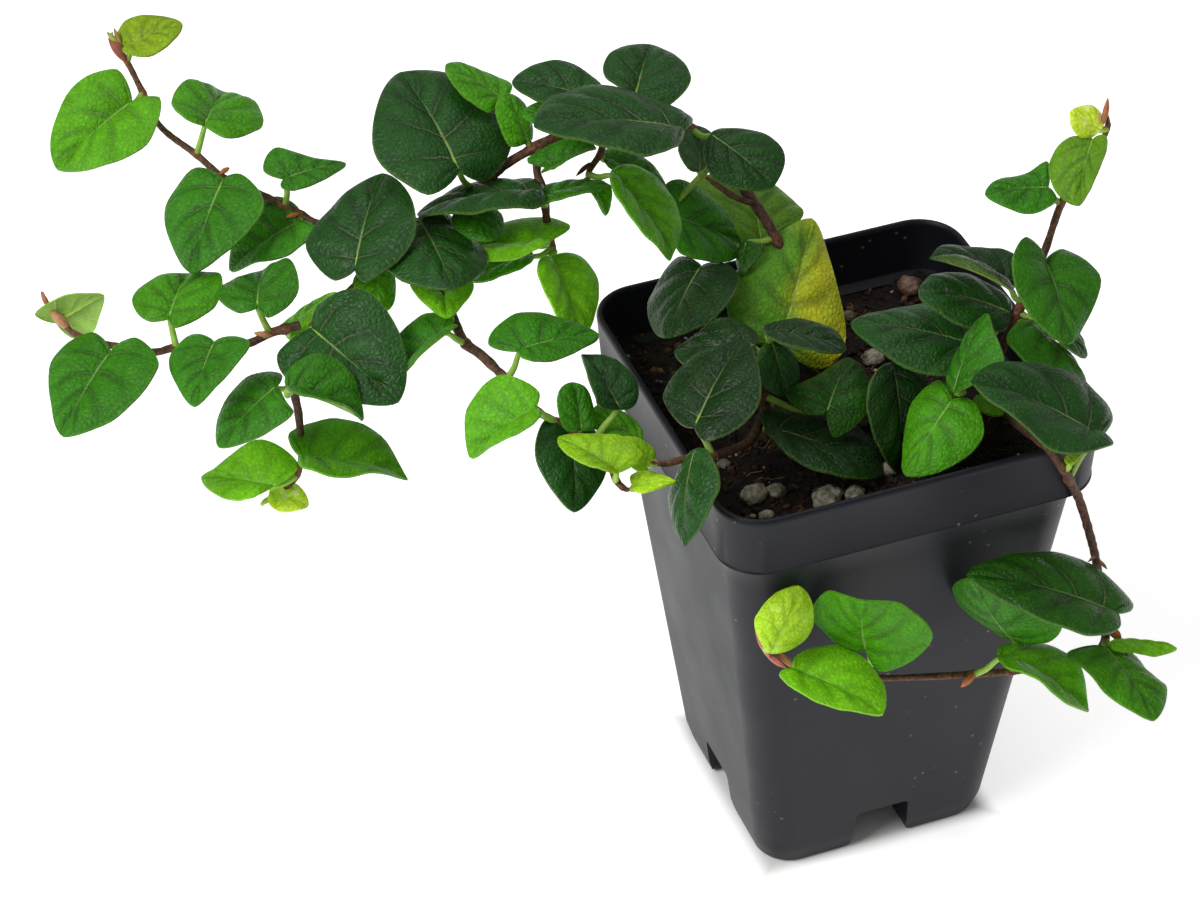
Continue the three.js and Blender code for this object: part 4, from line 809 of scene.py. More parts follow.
def frames_along(points):
    """A turned frame at each point of a path, that twists as little as it can."""
    frames = []
    ahead = (points[1] - points[0]).normalized()
    sideways = ahead.orthogonal().normalized()
    for i, point in enumerate(points):
        before = points[max(i - 1, 0)]
        after = points[min(i + 1, len(points) - 1)]
        ahead = (after - before).normalized()
        sideways = (sideways - ahead * sideways.dot(ahead)).normalized()
        up = ahead.cross(sideways)
        turn = Matrix((sideways, up, ahead)).transposed().to_4x4()
        frames.append(Matrix.Translation(point) @ turn)
    return frames


def add_tube(mesh, layers, points, radii, sides, tints, material):
    """A round stalk through points, closed at both ends."""
    placed = [
        Matrix.Scale(MM, 4) @ place @ Matrix.Diagonal((radius, radius, radius, 1))
        for place, radius in zip(frames_along(points), radii)
    ]
    ring = bmesh.ops.create_circle(mesh, cap_ends=True, segments=sides, radius=1)["verts"]
    edges = list({edge for vert in ring for edge in vert.link_edges})
    bmesh.ops.transform(mesh, matrix=placed[0], verts=ring)
    skin = set(ring)
    for vert in ring:
        vert[layers.tint] = (*tints[0][:3], 1)
    for i in range(1, len(points)):
        ring, edges = grow_ring(mesh, edges)
        bmesh.ops.transform(mesh, matrix=placed[i] @ placed[i - 1].inverted(), verts=ring)
        for vert in ring:
            vert[layers.tint] = (*tints[i][:3], 1)
        skin.update(ring)
    bmesh.ops.edgeloop_fill(mesh, edges=edges)
    for face in {face for vert in skin for face in vert.link_faces}:
        face.material_index = material


def finished(name, mesh, materials, sharp=50):
    """The mesh as an object of the scene, smooth but for its sharp edges."""
    bmesh.ops.recalc_face_normals(mesh, faces=mesh.faces[:])
    data = bpy.data.meshes.new(name)
    mesh.to_mesh(data)
    mesh.free()
    data.shade_smooth()
    data.set_sharp_from_angle(angle=math.radians(sharp))
    for material in materials:
        data.materials.append(material)
    made = bpy.data.objects.new(name, data)
    bpy.context.scene.collection.objects.link(made)
    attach(made, "root")
    return made


# Materials

RGBA = {"output": 2, "data_type": "RGBA"}
TIMES = {"operation": "MULTIPLY"}
SMOOTH = {"interpolation_type": "SMOOTHSTEP"}


def add(tree, kind, inputs=(), output=0, **settings):
    """Adds one node and gives one of its outputs, or the node itself where output is None.

    Inputs come in the order of the node's sockets, or by a socket's name or number, and each is a
    value or another node's output. A map range's are value, from low, from high, to low, to high.
    """
    made = tree.nodes.new("ShaderNode" + kind)
    for name, value in settings.items():
        setattr(made, name, value)
    for name, value in inputs.items() if isinstance(inputs, dict) else enumerate(inputs):
        if isinstance(value, bpy.types.NodeSocket):
            tree.links.new(value, made.inputs[name])
        else:
            made.inputs[name].default_value = value
    return made if output is None else made.outputs[output]


def new_material(name):
    """A material without nodes, and what adds nodes to it."""
    material = bpy.data.materials.new(name)
    material.use_nodes = True
    material.node_tree.nodes.clear()
    return material, partial(add, material.node_tree)


def mark_side_veins(ramp, shift, profile):
    """Sets a black ramp's stops: profile is (distance, level) across each side vein."""
    for end, position in zip(ramp.elements, (0, 1)):
        end.position = position
        end.color = (0, 0, 0, 1)
    for vein in SIDE_VEINS:
        for away, level in profile:
            ramp.elements.new(vein + shift + away).color = (level, level, level, 1)


def make_leaf_upper():
    """Living fig leaf, upper face: a smooth waxy cuticle over quilted flesh.

    It gives small soft glints on the quilting, a pale thin midrib, and side veins that lie sunk
    and read as dark creases with a pale start; the dark of the creases is painted shade. Blisters
    on the youngest blades carry a painted highlight.
    """
    material, node = new_material("fig_leaf_waxy_upper_face")
    place = node("TexCoord", output="Object")
    tint = node("Attribute", output="Color", attribute_name="tint")
    across = node("Attribute", output="Fac", attribute_name="across")
    path = node("Attribute", output="Fac", attribute_name="vein_path")
    ageing = node("Attribute", output="Fac", attribute_name="ageing")
    broad = node("TexNoise", {"Vector": place, "Scale": 160, "Detail": 3})
    blotch = node("TexNoise", {"Vector": place, "Scale": 520, "Detail": 3})
    fine = node("TexNoise", {"Vector": place, "Scale": 2200, "Detail": 2})
    # A young blade has a lighter tint
    youth = node("SeparateColor", [tint], output="Green")

    # Side veins wander a little, and lie deepest near the midrib
    wander = node("Math", [broad, 0.035, path], operation="MULTIPLY_ADD")
    lines = node("ValToRGB", [wander], output=None)
    profile = ((-0.042, 0), (-0.012, 0.65), (0, 1), (0.012, 0.65), (0.042, 0))
    mark_side_veins(lines.color_ramp, 0.0175, profile)
    crease_fade = node("MapRange", [across, 0.35, 0.95, 1, 0.15])
    crease = node("Math", [lines.outputs[0], crease_fade], **TIMES)
    # The pale start of a side vein fades towards the margin and towards the blade's tip
    thin = node("MapRange", [lines.outputs[0], 0.72, 1])
    pale_across = node("MapRange", [across, 0.05, 0.6, 0.7, 0.03])
    pale_along = node("MapRange", [path, 0.25, 0.75, 1, 0.25])
    pale_start = node("Math", [pale_across, pale_along], **TIMES)
    side_veins = node("Math", [thin, pale_start], **TIMES)
    midrib_edge = node("MapRange", [path, 0.05, 0.9, 0.038, 0.02])
    midrib = node("MapRange", [across, midrib_edge, 0.006], **SMOOTH)
    midrib_fade = node("MapRange", [path, 0.35, 0.95, 1, 0.2])
    pale_midrib = node("Math", [midrib, midrib_fade], **TIMES)
    veins = node("Math", [side_veins, pale_midrib], operation="MAXIMUM")
    # The smallest veins stand about 0.9 mm apart, and the flesh swells between them
    net = node(
        "TexVoronoi",
        {"Vector": place, "Scale": 1100, "Randomness": 0.95},
        feature="DISTANCE_TO_EDGE",
    )
    swell = node("MapRange", [net, 0, 0.3], **SMOOTH)

    # Shades of the flesh: painted shade in the creases and along the sunk lines of the vein net,
    # then broad clouds, blotches and a fine speckle of its own tone
    # Painted shade: the flesh darkens along the sunk side veins, most on an old blade
    darkest_painted_crease_shade = node("MapRange", [youth, 0.2, 0.6, 0.42, 0.85])
    shade = node("MapRange", [crease, 0, 1, 1, darkest_painted_crease_shade])
    for pattern, *span in (
        # painted shade along the sunk lines of the vein net, and a little painted light on the
        # swells
        (swell, 0, 1, 0.9, 1.03),
        (broad, 0.3, 0.7, 0.86, 1.14),
        (blotch, 0.3, 0.7, 0.87, 1.13),
        (fine, 0.3, 0.7, 0.84, 1.18),
    ):
        shade = node("Math", [shade, node("MapRange", [pattern, *span])], **TIMES)
    yellowed = node("Mix", {0: ageing, 6: tint, 7: colour("#e6da2a")}, **RGBA)
    browning = node("MapRange", [ageing, 1.05, 1.5])
    withered = node("Mix", {0: browning, 6: yellowed, 7: colour("#8a5a20")}, **RGBA)
    flesh = node("VectorMath", {0: withered, "Scale": shade}, operation="SCALE")
    vein_colour = node("Mix", {0: 0.5, 6: withered, 7: colour("#b9cf86")}, **RGBA)
    veined = node("Mix", {0: veins, 6: flesh, 7: vein_colour}, **RGBA)
    # Blisters on the youngest blades get a painted highlight, paler still
    youngest = node("MapRange", [youth, 0.76, 0.84])
    blister_painted_highlight = node("MapRange", [blotch, 0.52, 0.62, 0, 0.7], **SMOOTH)
    painted_highlight_share = node("Math", [youngest, blister_painted_highlight], **TIMES)
    highlighted = node("Mix", {0: painted_highlight_share, 6: veined, 7: colour("#f0f6b8")}, **RGBA)
    margin = node("MapRange", [across, 0.972, 0.995, 0, 0.14])
    edged = node("Mix", {0: margin, 6: highlighted, 7: colour("#8fb04c")}, **RGBA)

    # Veins lie sunk, and the flesh between them stands up, less so on a young blade
    relief = swell
    for pattern, height in ((crease, -1.3), (blotch, 2.4), (fine, 0.12)):
        relief = node("Math", [pattern, height, relief], operation="MULTIPLY_ADD")
    firm = node("MapRange", [youth, 0.2, 0.6, 0.5, 0.28])
    bump = node("Bump", {"Strength": firm, "Distance": 0.0002, "Height": relief})
    # The wax is thickest on an old blade
    wax = node("MapRange", [youth, 0.06, 0.22, 0.38, 0.24])
    shader = node(
        "BsdfPrincipled",
        {
            "Base Color": edged,
            "Roughness": node("MapRange", [broad, 0.3, 0.7, 0.34, 0.5]),
            "IOR": 1.4,
            "Specular IOR Level": wax,
            "Normal": bump,
        },
    )
    node("OutputMaterial", [shader], output=None)
    return material


def make_leaf_under():
    """Living fig leaf, underside: matt, paler, with the net of veins standing proud."""
    material, node = new_material("fig_leaf_matt_underside")
    place = node("TexCoord", output="Object")
    tint = node("Attribute", output="Color", attribute_name="tint")
    path = node("Attribute", output="Fac", attribute_name="vein_path")
    broad = node("TexNoise", {"Vector": place, "Scale": 200, "Detail": 3})
    net = node(
        "TexVoronoi",
        {"Vector": place, "Scale": 1000, "Randomness": 0.9},
        feature="DISTANCE_TO_EDGE",
    )
    net_line = node("MapRange", [net, 0.02, 0.2, 1, 0], **SMOOTH)
    lines = node("ValToRGB", [path], output=None)
    mark_side_veins(lines.color_ramp, 0, ((-0.014, 0), (0, 1), (0.014, 0)))
    pale = node("Mix", {0: 0.55, 6: tint, 7: colour("#86ad58")}, **RGBA)
    proud = node("Math", [net_line, 0.4, lines.outputs[0]], operation="MULTIPLY_ADD")
    share = node("Math", [proud, 0.45], **TIMES)
    veined = node("Mix", {0: share, 6: pale, 7: colour("#b4cc84")}, **RGBA)
    shade = node("MapRange", [broad, 0.3, 0.7, 0.85, 1.12])
    base = node("VectorMath", {0: veined, "Scale": shade}, operation="SCALE")
    bump = node("Bump", {"Strength": 0.6, "Distance": 0.00018, "Height": proud})
    shader = node(
        "BsdfPrincipled", {"Base Color": base, "Roughness": 0.62, "IOR": 1.4, "Normal": bump}
    )
    node("OutputMaterial", [shader], output=None)
    return material


def make_tinted(name, roughness, grain, depth, low, high):
    """A matt surface that takes its tint from the mesh, mottled by grains of a size in mm."""
    material, node = new_material(name)
    place = node("TexCoord", output="Object")
    tint = node("Attribute", output="Color", attribute_name="tint")
    mottle = node("TexNoise", {"Vector": place, "Scale": 1000 / grain, "Detail": 4})
    shade = node("MapRange", [mottle, 0.3, 0.7, low, high])
    base = node("VectorMath", {0: tint, "Scale": shade}, operation="SCALE")
    bump = node("Bump", {"Strength": 0.6, "Distance": depth * MM, "Height": mottle})
    shader = node(
        "BsdfPrincipled",
        {"Base Color": base, "Roughness": roughness, "IOR": 1.45, "Normal": bump},
    )
    node("OutputMaterial", [shader], output=None)
    return material


def make_pot_plastic():
    """Polypropylene, injection moulded in charcoal: a satin skin with a fine grain.

    It gives broad soft highlights on the walls, and holds a few splashes and crumbs of peat.
    """
    material, node = new_material("polypropylene_moulded_charcoal")
    place = node("TexCoord", output="Object")
    grain = node("TexNoise", {"Vector": place, "Scale": 2200, "Detail": 2})
    cloud = node("TexNoise", {"Vector": place, "Scale": 60, "Detail": 5})
    dust = node("TexVoronoi", {"Vector": place, "Scale": 330, "Randomness": 1}, feature="F1")
    speck = node("MapRange", [dust, 0.12, 0.05])
    scatter = node("TexNoise", {"Vector": place, "Scale": 45, "Detail": 2})
    where = node("MapRange", [scatter, 0.5, 0.6, 0, 0.7])
    specks = node("Math", [speck, where], **TIMES)
    faded = node("MapRange", [cloud, 0.35, 0.7, 0, 0.35])
    skin = node("Mix", {0: faded, 6: colour("#12121a"), 7: colour("#1c1c27")}, **RGBA)
    dusty = node("Mix", {0: specks, 6: skin, 7: colour("#8a6a50")}, **RGBA)
    bump = node("Bump", {"Strength": 0.25, "Distance": 0.00006, "Height": grain})
    shader = node(
        "BsdfPrincipled",
        {
            "Base Color": dusty,
            "Roughness": node("MapRange", [cloud, 0.3, 0.7, 0.4, 0.5]),
            "IOR": 1.49,
            "Specular IOR Level": 0.25,
            "Normal": bump,
        },
    )
    node("OutputMaterial", [shader], output=None)
    return material


def make_ground(name, dark, light, roughness, grain, depth):
    """A loose or porous mineral or peat surface between two tones, grained at a size in mm."""
    material, node = new_material(name)
    place = node("TexCoord", output="Object")
    mottle = node("TexNoise", {"Vector": place, "Scale": 1000 / grain, "Detail": 6})
    pits = node("TexVoronoi", {"Vector": place, "Scale": 1600 / grain, "Randomness": 1})
    share = node("MapRange", [mottle, 0.38, 0.66])
    base = node("Mix", {0: share, 6: colour(dark), 7: colour(light)}, **RGBA)
    relief = node("Math", [pits, 0.7, mottle], operation="MULTIPLY_ADD")
    bump = node("Bump", {"Strength": 0.8, "Distance": depth * MM, "Height": relief})
    shader = node(
        "BsdfPrincipled",
        {"Base Color": base, "Roughness": roughness, "IOR": 1.4, "Normal": bump},
    )
    node("OutputMaterial", [shader], output=None)
    return material


leaf_upper = make_leaf_upper()
leaf_under = make_leaf_under()
# Thin green rind of a leaf stalk: smooth and a little glossy
leaf_stalk = make_tinted("leaf_stalk_green_rind", 0.5, 1.2, 0.05, 0.85, 1.15)
# Young bark: brown, cracked fine and rough, so it barely shines
stem_bark = make_tinted("fig_stem_brown_bark", 0.72, 0.6, 0.25, 0.4, 2.5)
# Papery bud scales: dry, thin and streaked
bud_scale = make_tinted("bud_scale_papery", 0.6, 0.9, 0.08, 0.8, 1.2)
# Crumbs of peat and bark: dry, dark and dull
soil_crumb = make_tinted("peat_and_bark_crumbs", 0.9, 0.5, 0.12, 0.6, 1.4)
# Peat mix, pressed and damp: nearly black, with no shine
peat = make_ground("peat_mix_damp", "#0e0a07", "#261710", 0.92, 1.4, 0.5)
# Expanded perlite: off-white volcanic glass foam, chalky and full of pits, here in greyer tones,
# partly for soil on it and partly as painted shade
perlite = make_ground("perlite_expanded", "#66604f", "#a8a290", 0.85, 1.1, 0.2)
# Pine bark chip: flaky, grey-brown and dry
pine_bark = make_ground("pine_bark_chip", "#4c372d", "#8e7262", 0.85, 1.6, 0.35)
pot_plastic = make_pot_plastic()


def near_any(point, places, reach):
    """1 at any of the places, falling to 0 at reach from them."""
    return max((1 - (point - place).length / reach for place in places), default=0)


def add_stem(mesh, layers, stem, nodes):
    path = stem_points(stem)
    rough = sum((b - a).length for a, b in zip(path, path[1:]))
    points = spaced(path, max(6, round(rough / STEM_STEP)))
    start, end = stem["radii"]
    old, young = (colour(code) for code in BARK_TONES)
    radii = []
    tints = []
    for i, point in enumerate(points):
        share = i / (len(points) - 1)
        knuckle = clamp(near_any(point, nodes, KNUCKLE_REACH))
        radius = (start + (end - start) * share) * (1 + 0.3 * knuckle**2)
        radius *= clamp(0.2 + 0.25 * (len(points) - 1 - i))
        radii.append(radius * (1 + 0.2 * noise.noise(point * 1.1)))
        tint = blend_colours(old, young, share)
        tints.append(blend_colours(tint, NODE_TINT, 0.55 * knuckle))
    add_tube(mesh, layers, points, radii, 10, tints, 0)
    return points


def add_petiole(mesh, layers, pick, blade, seat):
    """A leaf stalk, that goes on as the raised midrib under the blade."""
    below = -blade["normal"] * (BLADE_THICKNESS + 0.06)
    ribs = [on_blade(blade, 0, y) + below for y in (0.03, 0.16, 0.34, 0.56, 0.78)]
    bend = seat.lerp(ribs[0], 0.55) - blade["normal"] * (0.12 * (ribs[0] - seat).length)
    points = spaced([seat, bend, *ribs], PETIOLE_STEPS)
    stalk = (ribs[0] - seat).length
    whole = stalk + 0.78 * blade["axis"].length
    tone = colour(TONES[pick["tone"]])
    pale = blend_colours(tone, PETIOLE_TINT, 0.72)
    radii = []
    tints = []
    for i in range(PETIOLE_STEPS + 1):
        share = i / PETIOLE_STEPS
        on_rib = clamp((share * whole - stalk) / (whole - stalk))
        thick = PETIOLE_RADIUS * (1.25 - 0.3 * clamp(share * whole / max(stalk, 0.5)))
        radii.append(thick * (1 - 0.86 * on_rib**0.6))
        tints.append(blend_colours(pale, NODE_TINT, 0.5 * clamp(1 - share * whole / 1.5)))
    add_tube(mesh, layers, points, radii, 8, tints, 1)


def add_bud(mesh, layers, stems, start_pixel, end_pixel, width, tint):
    """A pointed sheath, bud or short root, held near the stem's depth."""
    depth = depth_of(nearest_on_stems(stems, start_pixel)) - BUD_REACH
    start = at_depth(start_pixel, depth)
    end = at_depth(end_pixel, depth)
    bow = towards_viewer * (0.12 * (end - start).length)
    points = []
    radii = []
    for i in range(BUD_STEPS + 1):
        share = i / BUD_STEPS
        points.append(start.lerp(end, share) + bow * math.sin(math.pi * share))
        fullness = math.sin(math.pi * (0.12 + 0.86 * share)) ** 0.8
        radii.append(max(0.05, width / 2 * fullness))
    add_tube(mesh, layers, points, radii, 7, [colour(tint)] * len(points), 2)


def add_spray(name, spray):
    """The leaves of one spray as one piece, and its stems, stalks and buds as another."""
    chance = random.Random(name)
    leaves = bmesh.new()
    leaf_layers = Layers(leaves)
    stalks = bmesh.new()
    stalk_layers = Layers(stalks)
    stems = spray["stems"]
    roots = [nearest_on_stems(stems, pick["joins"]) for pick in spray["leaves"]]
    fine = []
    for stem in stems:
        fine += add_stem(stalks, stalk_layers, stem, roots)
    for pick, root in zip(spray["leaves"], roots):
        blade = place_blade(pick, root)
        add_blade(leaves, leaf_layers, pick, blade, chance)
        seat = min(fine, key=lambda point: (point - root).length)
        add_petiole(stalks, stalk_layers, pick, blade, seat)
    for bud in BUDS.get(name, ()):
        add_bud(stalks, stalk_layers, stems, *bud)
    made = finished(name + "_leaves", leaves, [leaf_upper, leaf_under])
    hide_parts(name)
    made = finished(name + "_stems", stalks, [stem_bark, leaf_stalk, bud_scale])
    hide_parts(name)


# Pot


def square_tower(levels):
    """A closed tower with rounded corners. Each level is half width, corner radius, height."""
    mesh = bmesh.new()
    places = mesh.verts.layers.int.new("place")
    around = 4 * (CORNER_STEPS + 1)
    ring = bmesh.ops.create_circle(mesh, cap_ends=False, segments=around, radius=1)["verts"]
    edges = list({edge for vert in ring for edge in vert.link_edges})
    for vert in ring:
        vert[places] = round(math.atan2(vert.co.y, vert.co.x) / math.tau * around) % around
    for i, (half, corner, height) in enumerate(levels):
        if i > 0:
            ring, edges = grow_ring(mesh, edges)
        for vert in ring:
            quarter, step = divmod(vert[places], CORNER_STEPS + 1)
            angle = (quarter + step / CORNER_STEPS) * math.pi / 2
            x = (half - corner) * (1 if quarter in (0, 3) else -1) + corner * math.cos(angle)
            y = (half - corner) * (1 if quarter < 2 else -1) + corner * math.sin(angle)
            vert.co = Vector((x, y, height)) * MM
        if i == 0:
            bmesh.ops.edgeloop_fill(mesh, edges=edges)
    bmesh.ops.edgeloop_fill(mesh, edges=edges)
    bmesh.ops.recalc_face_normals(mesh, faces=mesh.faces[:])
    return mesh


def body_half(height):
    share = (height - FOOT_HEIGHT) / (POT_HEIGHT - COLLAR_HEIGHT - FOOT_HEIGHT)
    return BODY_FOOT_HALF + (BODY_TOP_HALF - BODY_FOOT_HALF) * share


def notch_half_width(height):
    """Half the width of a notch. Its sides round away where they meet the sole."""
    share = clamp(height / NOTCH_HEIGHT)
    straight = (NOTCH_SOLE_WIDTH + (NOTCH_TOP_WIDTH - NOTCH_SOLE_WIDTH) * share) / 2
    drop = clamp(FOOT_ROUND - height, 0, FOOT_ROUND)
    return straight + FOOT_ROUND - math.sqrt(FOOT_ROUND**2 - drop**2)


def notch_blocks():
    """The four blocks that the cuts in the foot are made with."""
    mesh = bmesh.new()
    bmesh.ops.create_cube(mesh, size=1)
    upright = [edge for edge in mesh.edges if abs(edge.verts[0].co.z - edge.verts[1].co.z) > 0.5]
    heights = (-2, 0, 0.1, 0.3, 0.6, 1, FOOT_ROUND, NOTCH_HEIGHT)
    bmesh.ops.subdivide_edges(mesh, edges=upright, cuts=len(heights) - 2, use_grid_fill=True)
    for vert in mesh.verts:
        height = heights[round((vert.co.z + 0.5) * (len(heights) - 1))]
        half = notch_half_width(height)
        reach = SOLE_HALF - NOTCH_DEPTH if vert.co.y > 0 else SOLE_HALF + 11
        vert.co = Vector((math.copysign(half, vert.co.x), -reach, height)) * MM
    top = NOTCH_HEIGHT * MM - 1e-6
    upper = [edge for edge in mesh.edges if all(vert.co.z > top for vert in edge.verts)]
    bmesh.ops.bevel(
        mesh, geom=upper, offset=0.9 * MM, segments=4, profile=0.5, affect="EDGES", material=-1
    )
    first = mesh.faces[:]
    for quarter in (1, 2, 3):
        verts = of_type(bmesh.ops.duplicate(mesh, geom=first)["geom"], bmesh.types.BMVert)
        turn = Matrix.Rotation(quarter * math.pi / 2, 3, "Z")
        bmesh.ops.rotate(mesh, verts=verts, cent=(0, 0, 0), matrix=turn)
    bmesh.ops.recalc_face_normals(mesh, faces=mesh.faces[:])
    return mesh


def make_pot():
    body_top = POT_HEIGHT - COLLAR_HEIGHT
    inner_top = POT_HEIGHT - 0.8
    levels = [
        (SOLE_HALF - 0.5, BODY_FOOT_CORNER - 0.5, 0),
        (SOLE_HALF - 0.1, BODY_FOOT_CORNER - 0.1, 0.15),
        (SOLE_HALF + 0.1, BODY_FOOT_CORNER, 0.5),
        (BODY_FOOT_HALF - 0.2, BODY_FOOT_CORNER, FOOT_HEIGHT - 0.7),
        (BODY_FOOT_HALF, BODY_FOOT_CORNER, FOOT_HEIGHT),
        (body_half(4.5), BODY_FOOT_CORNER, 4.5),
        (body_half(70), BODY_TOP_CORNER, 70),
        (BODY_TOP_HALF - 0.1, BODY_TOP_CORNER, body_top - 1.2),
        (BODY_TOP_HALF + 0.1, BODY_TOP_CORNER, body_top - 0.9),
        (COLLAR_HALF - 0.3, BODY_TOP_CORNER, body_top - 0.35),
        (COLLAR_HALF - 0.05, BODY_TOP_CORNER, body_top - 0.1),
        # The mould's parting line stands out a little
        (COLLAR_HALF + 0.14, BODY_TOP_CORNER, body_top + 0.02),
        (COLLAR_HALF + 0.16, BODY_TOP_CORNER, body_top + 0.14),
        (COLLAR_HALF + 0.03, BODY_TOP_CORNER, body_top + 0.4),
        (RIM_HALF - 0.06, RIM_CORNER, POT_HEIGHT - 1.2),
        (RIM_HALF, RIM_CORNER, POT_HEIGHT - 0.8),
        (RIM_HALF - 0.1, RIM_CORNER - 0.1, POT_HEIGHT - 0.35),
        (RIM_HALF - 0.35, RIM_CORNER - 0.35, POT_HEIGHT - 0.06),
        (RIM_HALF - 0.6, RIM_CORNER - 0.6, POT_HEIGHT),
        (RIM_HALF - 0.85, RIM_CORNER - 0.85, POT_HEIGHT - 0.06),
        (RIM_HALF - 1.1, RIM_CORNER - 1.1, POT_HEIGHT - 0.35),
        (RIM_HALF - WALL, RIM_CORNER - WALL, inner_top),
        (COLLAR_HALF - WALL + 0.03, BODY_TOP_CORNER - WALL, body_top + WALL + 1.2),
        (COLLAR_HALF - WALL - 0.2, BODY_TOP_CORNER - WALL, body_top + WALL + 0.7),
        (BODY_TOP_HALF - WALL, BODY_TOP_CORNER - WALL, body_top + WALL),
        (body_half(POT_FLOOR) - WALL, BODY_FOOT_CORNER - WALL, POT_FLOOR),
    ]
    made = finished("pot_shell", square_tower(levels), [pot_plastic])
    cutter = finished("notch_blocks", notch_blocks(), [pot_plastic])
    cut = made.modifiers.new("notches", "BOOLEAN")
    cut.operation = "DIFFERENCE"
    cut.solver = "EXACT"
    cut.object = cutter
    graph = bpy.context.evaluated_depsgraph_get()
    data = bpy.data.meshes.new_from_object(made.evaluated_get(graph))
    made.modifiers.clear()
    made.data = data
    data.name = "pot_shell"
    data.set_sharp_from_angle(angle=math.radians(35))
    bpy.data.objects.remove(cutter)
    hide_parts("pot")


# Soil


def rounded_off(x, y, half, corner):
    """A point of a square of half width 1, moved onto a square with rounded corners."""
    size = max(abs(x), abs(y))
    flat = (half - corner) * size
    across, along = abs(x) * half, abs(y) * half
    beyond = Vector((across - flat, along - flat))
    if beyond.x > 0 and beyond.y > 0:
        beyond = beyond.normalized() * max(beyond)
        across, along = flat + beyond.x, flat + beyond.y
    return math.copysign(across, x), math.copysign(along, y)


def soil_height(x, y):
    place = Vector((x, y, 0))
    height = SOIL_LEVEL - 0.1
    height += 1.0 * noise.noise(place * 0.06)
    height += 0.9 * noise.noise(place * 0.17 + Vector((9, 0, 0)))
    height += 0.7 * noise.noise(place * 0.5 + Vector((0, 5, 0)))
    height += 0.4 * noise.noise(place * 1.3)
    return height


def make_soil():
    mesh = bmesh.new()
    bmesh.ops.create_grid(mesh, x_segments=SOIL_CELLS, y_segments=SOIL_CELLS, size=1)
    for vert in mesh.verts:
        x, y = rounded_off(vert.co.x, vert.co.y, SOIL_HALF, SOIL_CORNER)
        vert.co = Vector((x, y, soil_height(x, y))) * MM
    edges = [edge for edge in mesh.edges if edge.is_boundary]
    for half, height in ((28, 76.3), (body_half(POT_FLOOR) - WALL - 0.3, POT_FLOOR + 0.3)):
        ring, edges = grow_ring(mesh, edges)
        reach = max(vert.co.x for vert in ring)
        for vert in ring:
            vert.co = Vector((*(vert.co.xy * (half * MM / reach)), height * MM))
    bmesh.ops.edgeloop_fill(mesh, edges=edges)
    made = finished("soil_bed", mesh, [peat], 180)
    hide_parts("soil")


def scattered_turn(chance):
    turn = Matrix.Rotation(chance.uniform(0, math.tau), 4, "Z")
    return turn @ Matrix.Rotation(chance.uniform(0, math.pi), 4, "X")


def make_crumbs():
    """Loose crumbs, bark chips, specks of perlite and peat fibres on the soil."""
    chance = random.Random(7)
    mesh = bmesh.new()
    layers = Layers(mesh)
    kinds = [("#241712", 0.62), ("#3a2118", 0.2), ("#54301f", 0.1), ("#6d4a30", 0.04)]
    for _ in range(CRUMBS):
        x, y = rounded_off(chance.uniform(-0.97, 0.97), chance.uniform(-0.97, 0.97), 29, 6)
        pick = chance.random()
        code, low, high = "#a9a294", 0.3, 0.75
        for kind, share in kinds:
            if pick < share:
                code, low, high = kind, 0.3, 1.0
                break
            pick -= share
        size = low + (high - low) * chance.random() ** 2
        stretch = Matrix.Diagonal((size, size * chance.uniform(0.5, 0.9), size * 0.5, 1))
        place = Matrix.Translation((x, y, soil_height(x, y) + 0.15 * size))
        matrix = Matrix.Scale(MM, 4) @ place @ scattered_turn(chance) @ stretch
        made = bmesh.ops.create_icosphere(mesh, subdivisions=1, radius=1, matrix=matrix)["verts"]
        shade = chance.uniform(0.7, 1.3)
        for vert in made:
            vert.co += Vector((0, 0, 1)) * (chance.uniform(-0.12, 0.12) * size * MM)
            vert[layers.tint] = (*(c * shade for c in colour(code)[:3]), 1)
    for i in range(FIBRES):
        x, y = rounded_off(chance.uniform(-0.9, 0.9), chance.uniform(-0.9, 0.9), 29, 6)
        turn = chance.uniform(0, math.tau)
        length = chance.uniform(1.5, 4.5)
        points = []
        for k in range(7):
            away = (k / 6 - 0.5) * length
            bow = 0.25 * math.sin(k * 1.1 + i)
            px = x + away * math.cos(turn) - bow * math.sin(turn)
            py = y + away * math.sin(turn) + bow * math.cos(turn)
            inside = max(abs(px), abs(py)) < 28.6
            px, py = (px, py) if inside else (x * 0.95 + k * 0.01, y * 0.95)
            points.append(Vector((px, py, soil_height(px, py) + 0.25 + 0.2 * math.sin(k))))
        tint = colour(chance.choice(("#6a4a32", "#4a3022", "#8a6a48")))
        add_tube(mesh, layers, points, [0.09] * 7, 4, [tint] * 7, 0)
    made = finished("soil_crumbs", mesh, [soil_crumb], 180)
    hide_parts("soil")


def make_lump(node, piece, grain, material):
    """A lump as wide as its grain says, pitted and knobbly."""
    u, v, width = grain
    middle = at_height((u, v, SOIL_LEVEL + width * 0.2))
    mesh = bmesh.new()
    bmesh.ops.create_icosphere(mesh, subdivisions=4, radius=1)
    for vert in mesh.verts:
        way = vert.co.normalized()
        seed = Vector((u, v, 0)) * 0.37
        swell = 1 + 0.22 * noise.noise(way * 1.1 + seed) + 0.12 * noise.noise(way * 2.7 + seed)
        swell -= 0.10 * noise.turbulence(way * 4.5 + seed, 2, False) - 0.03
        shape = Vector((way.x, way.y * 0.85, way.z * 0.72)) * (swell * width / 2)
        vert.co = (middle + shape) * MM
    made = finished(piece, mesh, [material], 180)
    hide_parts(node)


for spray_name, spray in SPRAYS.items():
    add_spray(spray_name, spray)
make_pot()
make_soil()
make_crumbs()
for number, grain in enumerate(GRAINS, 1):
    make_lump(f"grain_{number}", f"perlite_{number}", grain, perlite)
make_lump("bark_lump", "bark_chip", BARK_CHIP, pine_bark)


# Floor, light and camera


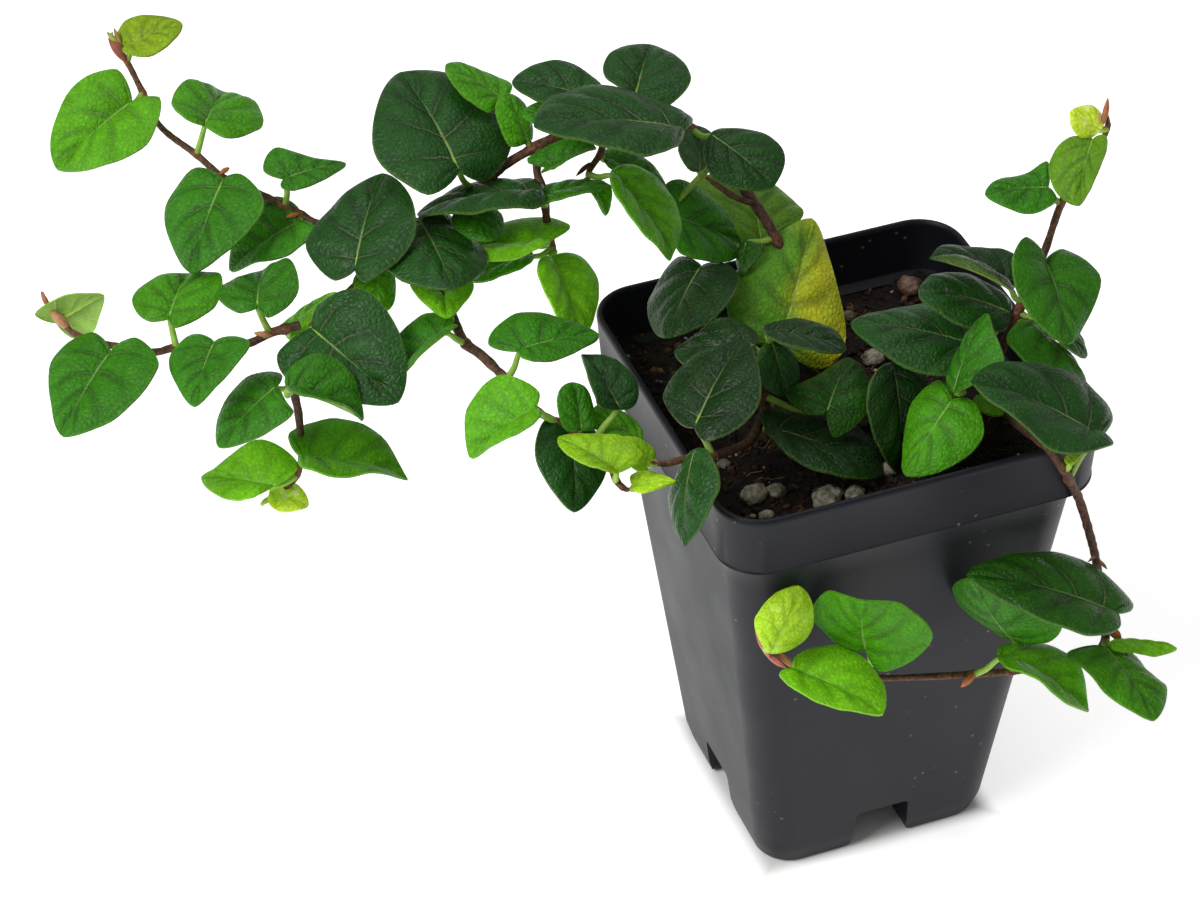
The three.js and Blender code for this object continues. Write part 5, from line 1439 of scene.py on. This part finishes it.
def make_floor():
    """A matt white card, so wide that no edge of it shows."""
    mesh = bmesh.new()
    bmesh.ops.create_grid(mesh, x_segments=2, y_segments=2, size=6)
    bmesh.ops.translate(mesh, verts=mesh.verts, vec=(0, 0, -0.0002))
    data = bpy.data.meshes.new("floor")
    mesh.to_mesh(data)
    mesh.free()
    material, node = new_material("card_matt_white")
    place = node("TexCoord", output="Object")
    cloud = node("TexNoise", {"Vector": place, "Scale": 3, "Detail": 2})
    base = node("Mix", {0: cloud, 6: colour("#fbfbfb"), 7: colour("#ffffff")}, **RGBA)
    # The card glows as an overexposed one does, but not where the pot covers it
    apart = node("SeparateXYZ", [place], output=None)
    sideways = node("Math", [apart.outputs[0]], operation="ABSOLUTE")
    forwards = node("Math", [apart.outputs[1]], operation="ABSOLUTE")
    away = node("Math", [sideways, forwards], operation="MAXIMUM")
    glow = node("MapRange", [away, 0.0185, 0.0225, 0, 0.55], **SMOOTH)
    shader = node(
        "BsdfPrincipled",
        {
            "Base Color": base,
            "Roughness": 0.9,
            "Emission Color": (1, 1, 1, 1),
            "Emission Strength": glow,
        },
    )
    node("OutputMaterial", [shader], output=None)
    data.materials.append(material)
    floor = bpy.data.objects.new("floor", data)
    bpy.context.scene.collection.objects.link(floor)


def add_light(name, place, aim, size, power, tone):
    """A square soft box, its place and aim in mm."""
    data = bpy.data.lights.new(name, "AREA")
    data.shape = "SQUARE"
    data.size = size * MM
    data.energy = power
    data.color = colour(tone)[:3]
    light = bpy.data.objects.new(name, data)
    light.location = Vector(place) * MM
    away = Vector(place) - Vector(aim)
    light.rotation_euler = away.to_track_quat("Z", "Y").to_euler()
    bpy.context.scene.collection.objects.link(light)


def make_camera():
    data = bpy.data.cameras.new("camera")
    data.sensor_width = 36
    data.lens = VIEW_FOCAL / PICTURE_WIDTH * 36
    data.clip_start = 0.01
    data.clip_end = 20
    camera = bpy.data.objects.new("camera", data)
    turn = Matrix((picture_right, picture_up, towards_viewer)).transposed().to_4x4()
    camera.matrix_world = Matrix.Translation(VIEW_EYE * MM) @ turn
    bpy.context.scene.collection.objects.link(camera)
    bpy.context.scene.camera = camera


make_floor()
make_camera()
add_light("soft_box_left", (-650, -150, 700), (-20, 0, 60), 500, 5.4, "#ffffff")
add_light("soft_box_above", (100, 250, 900), (-20, 0, 60), 500, 1.8, "#ffffff")
world = bpy.data.worlds.new("studio")
world.use_nodes = True
world.node_tree.nodes["Background"].inputs["Color"].default_value = (1, 1, 1, 1)
world.node_tree.nodes["Background"].inputs["Strength"].default_value = 0.3
bpy.context.scene.world = world
bpy.context.scene.view_settings.view_transform = "Standard"
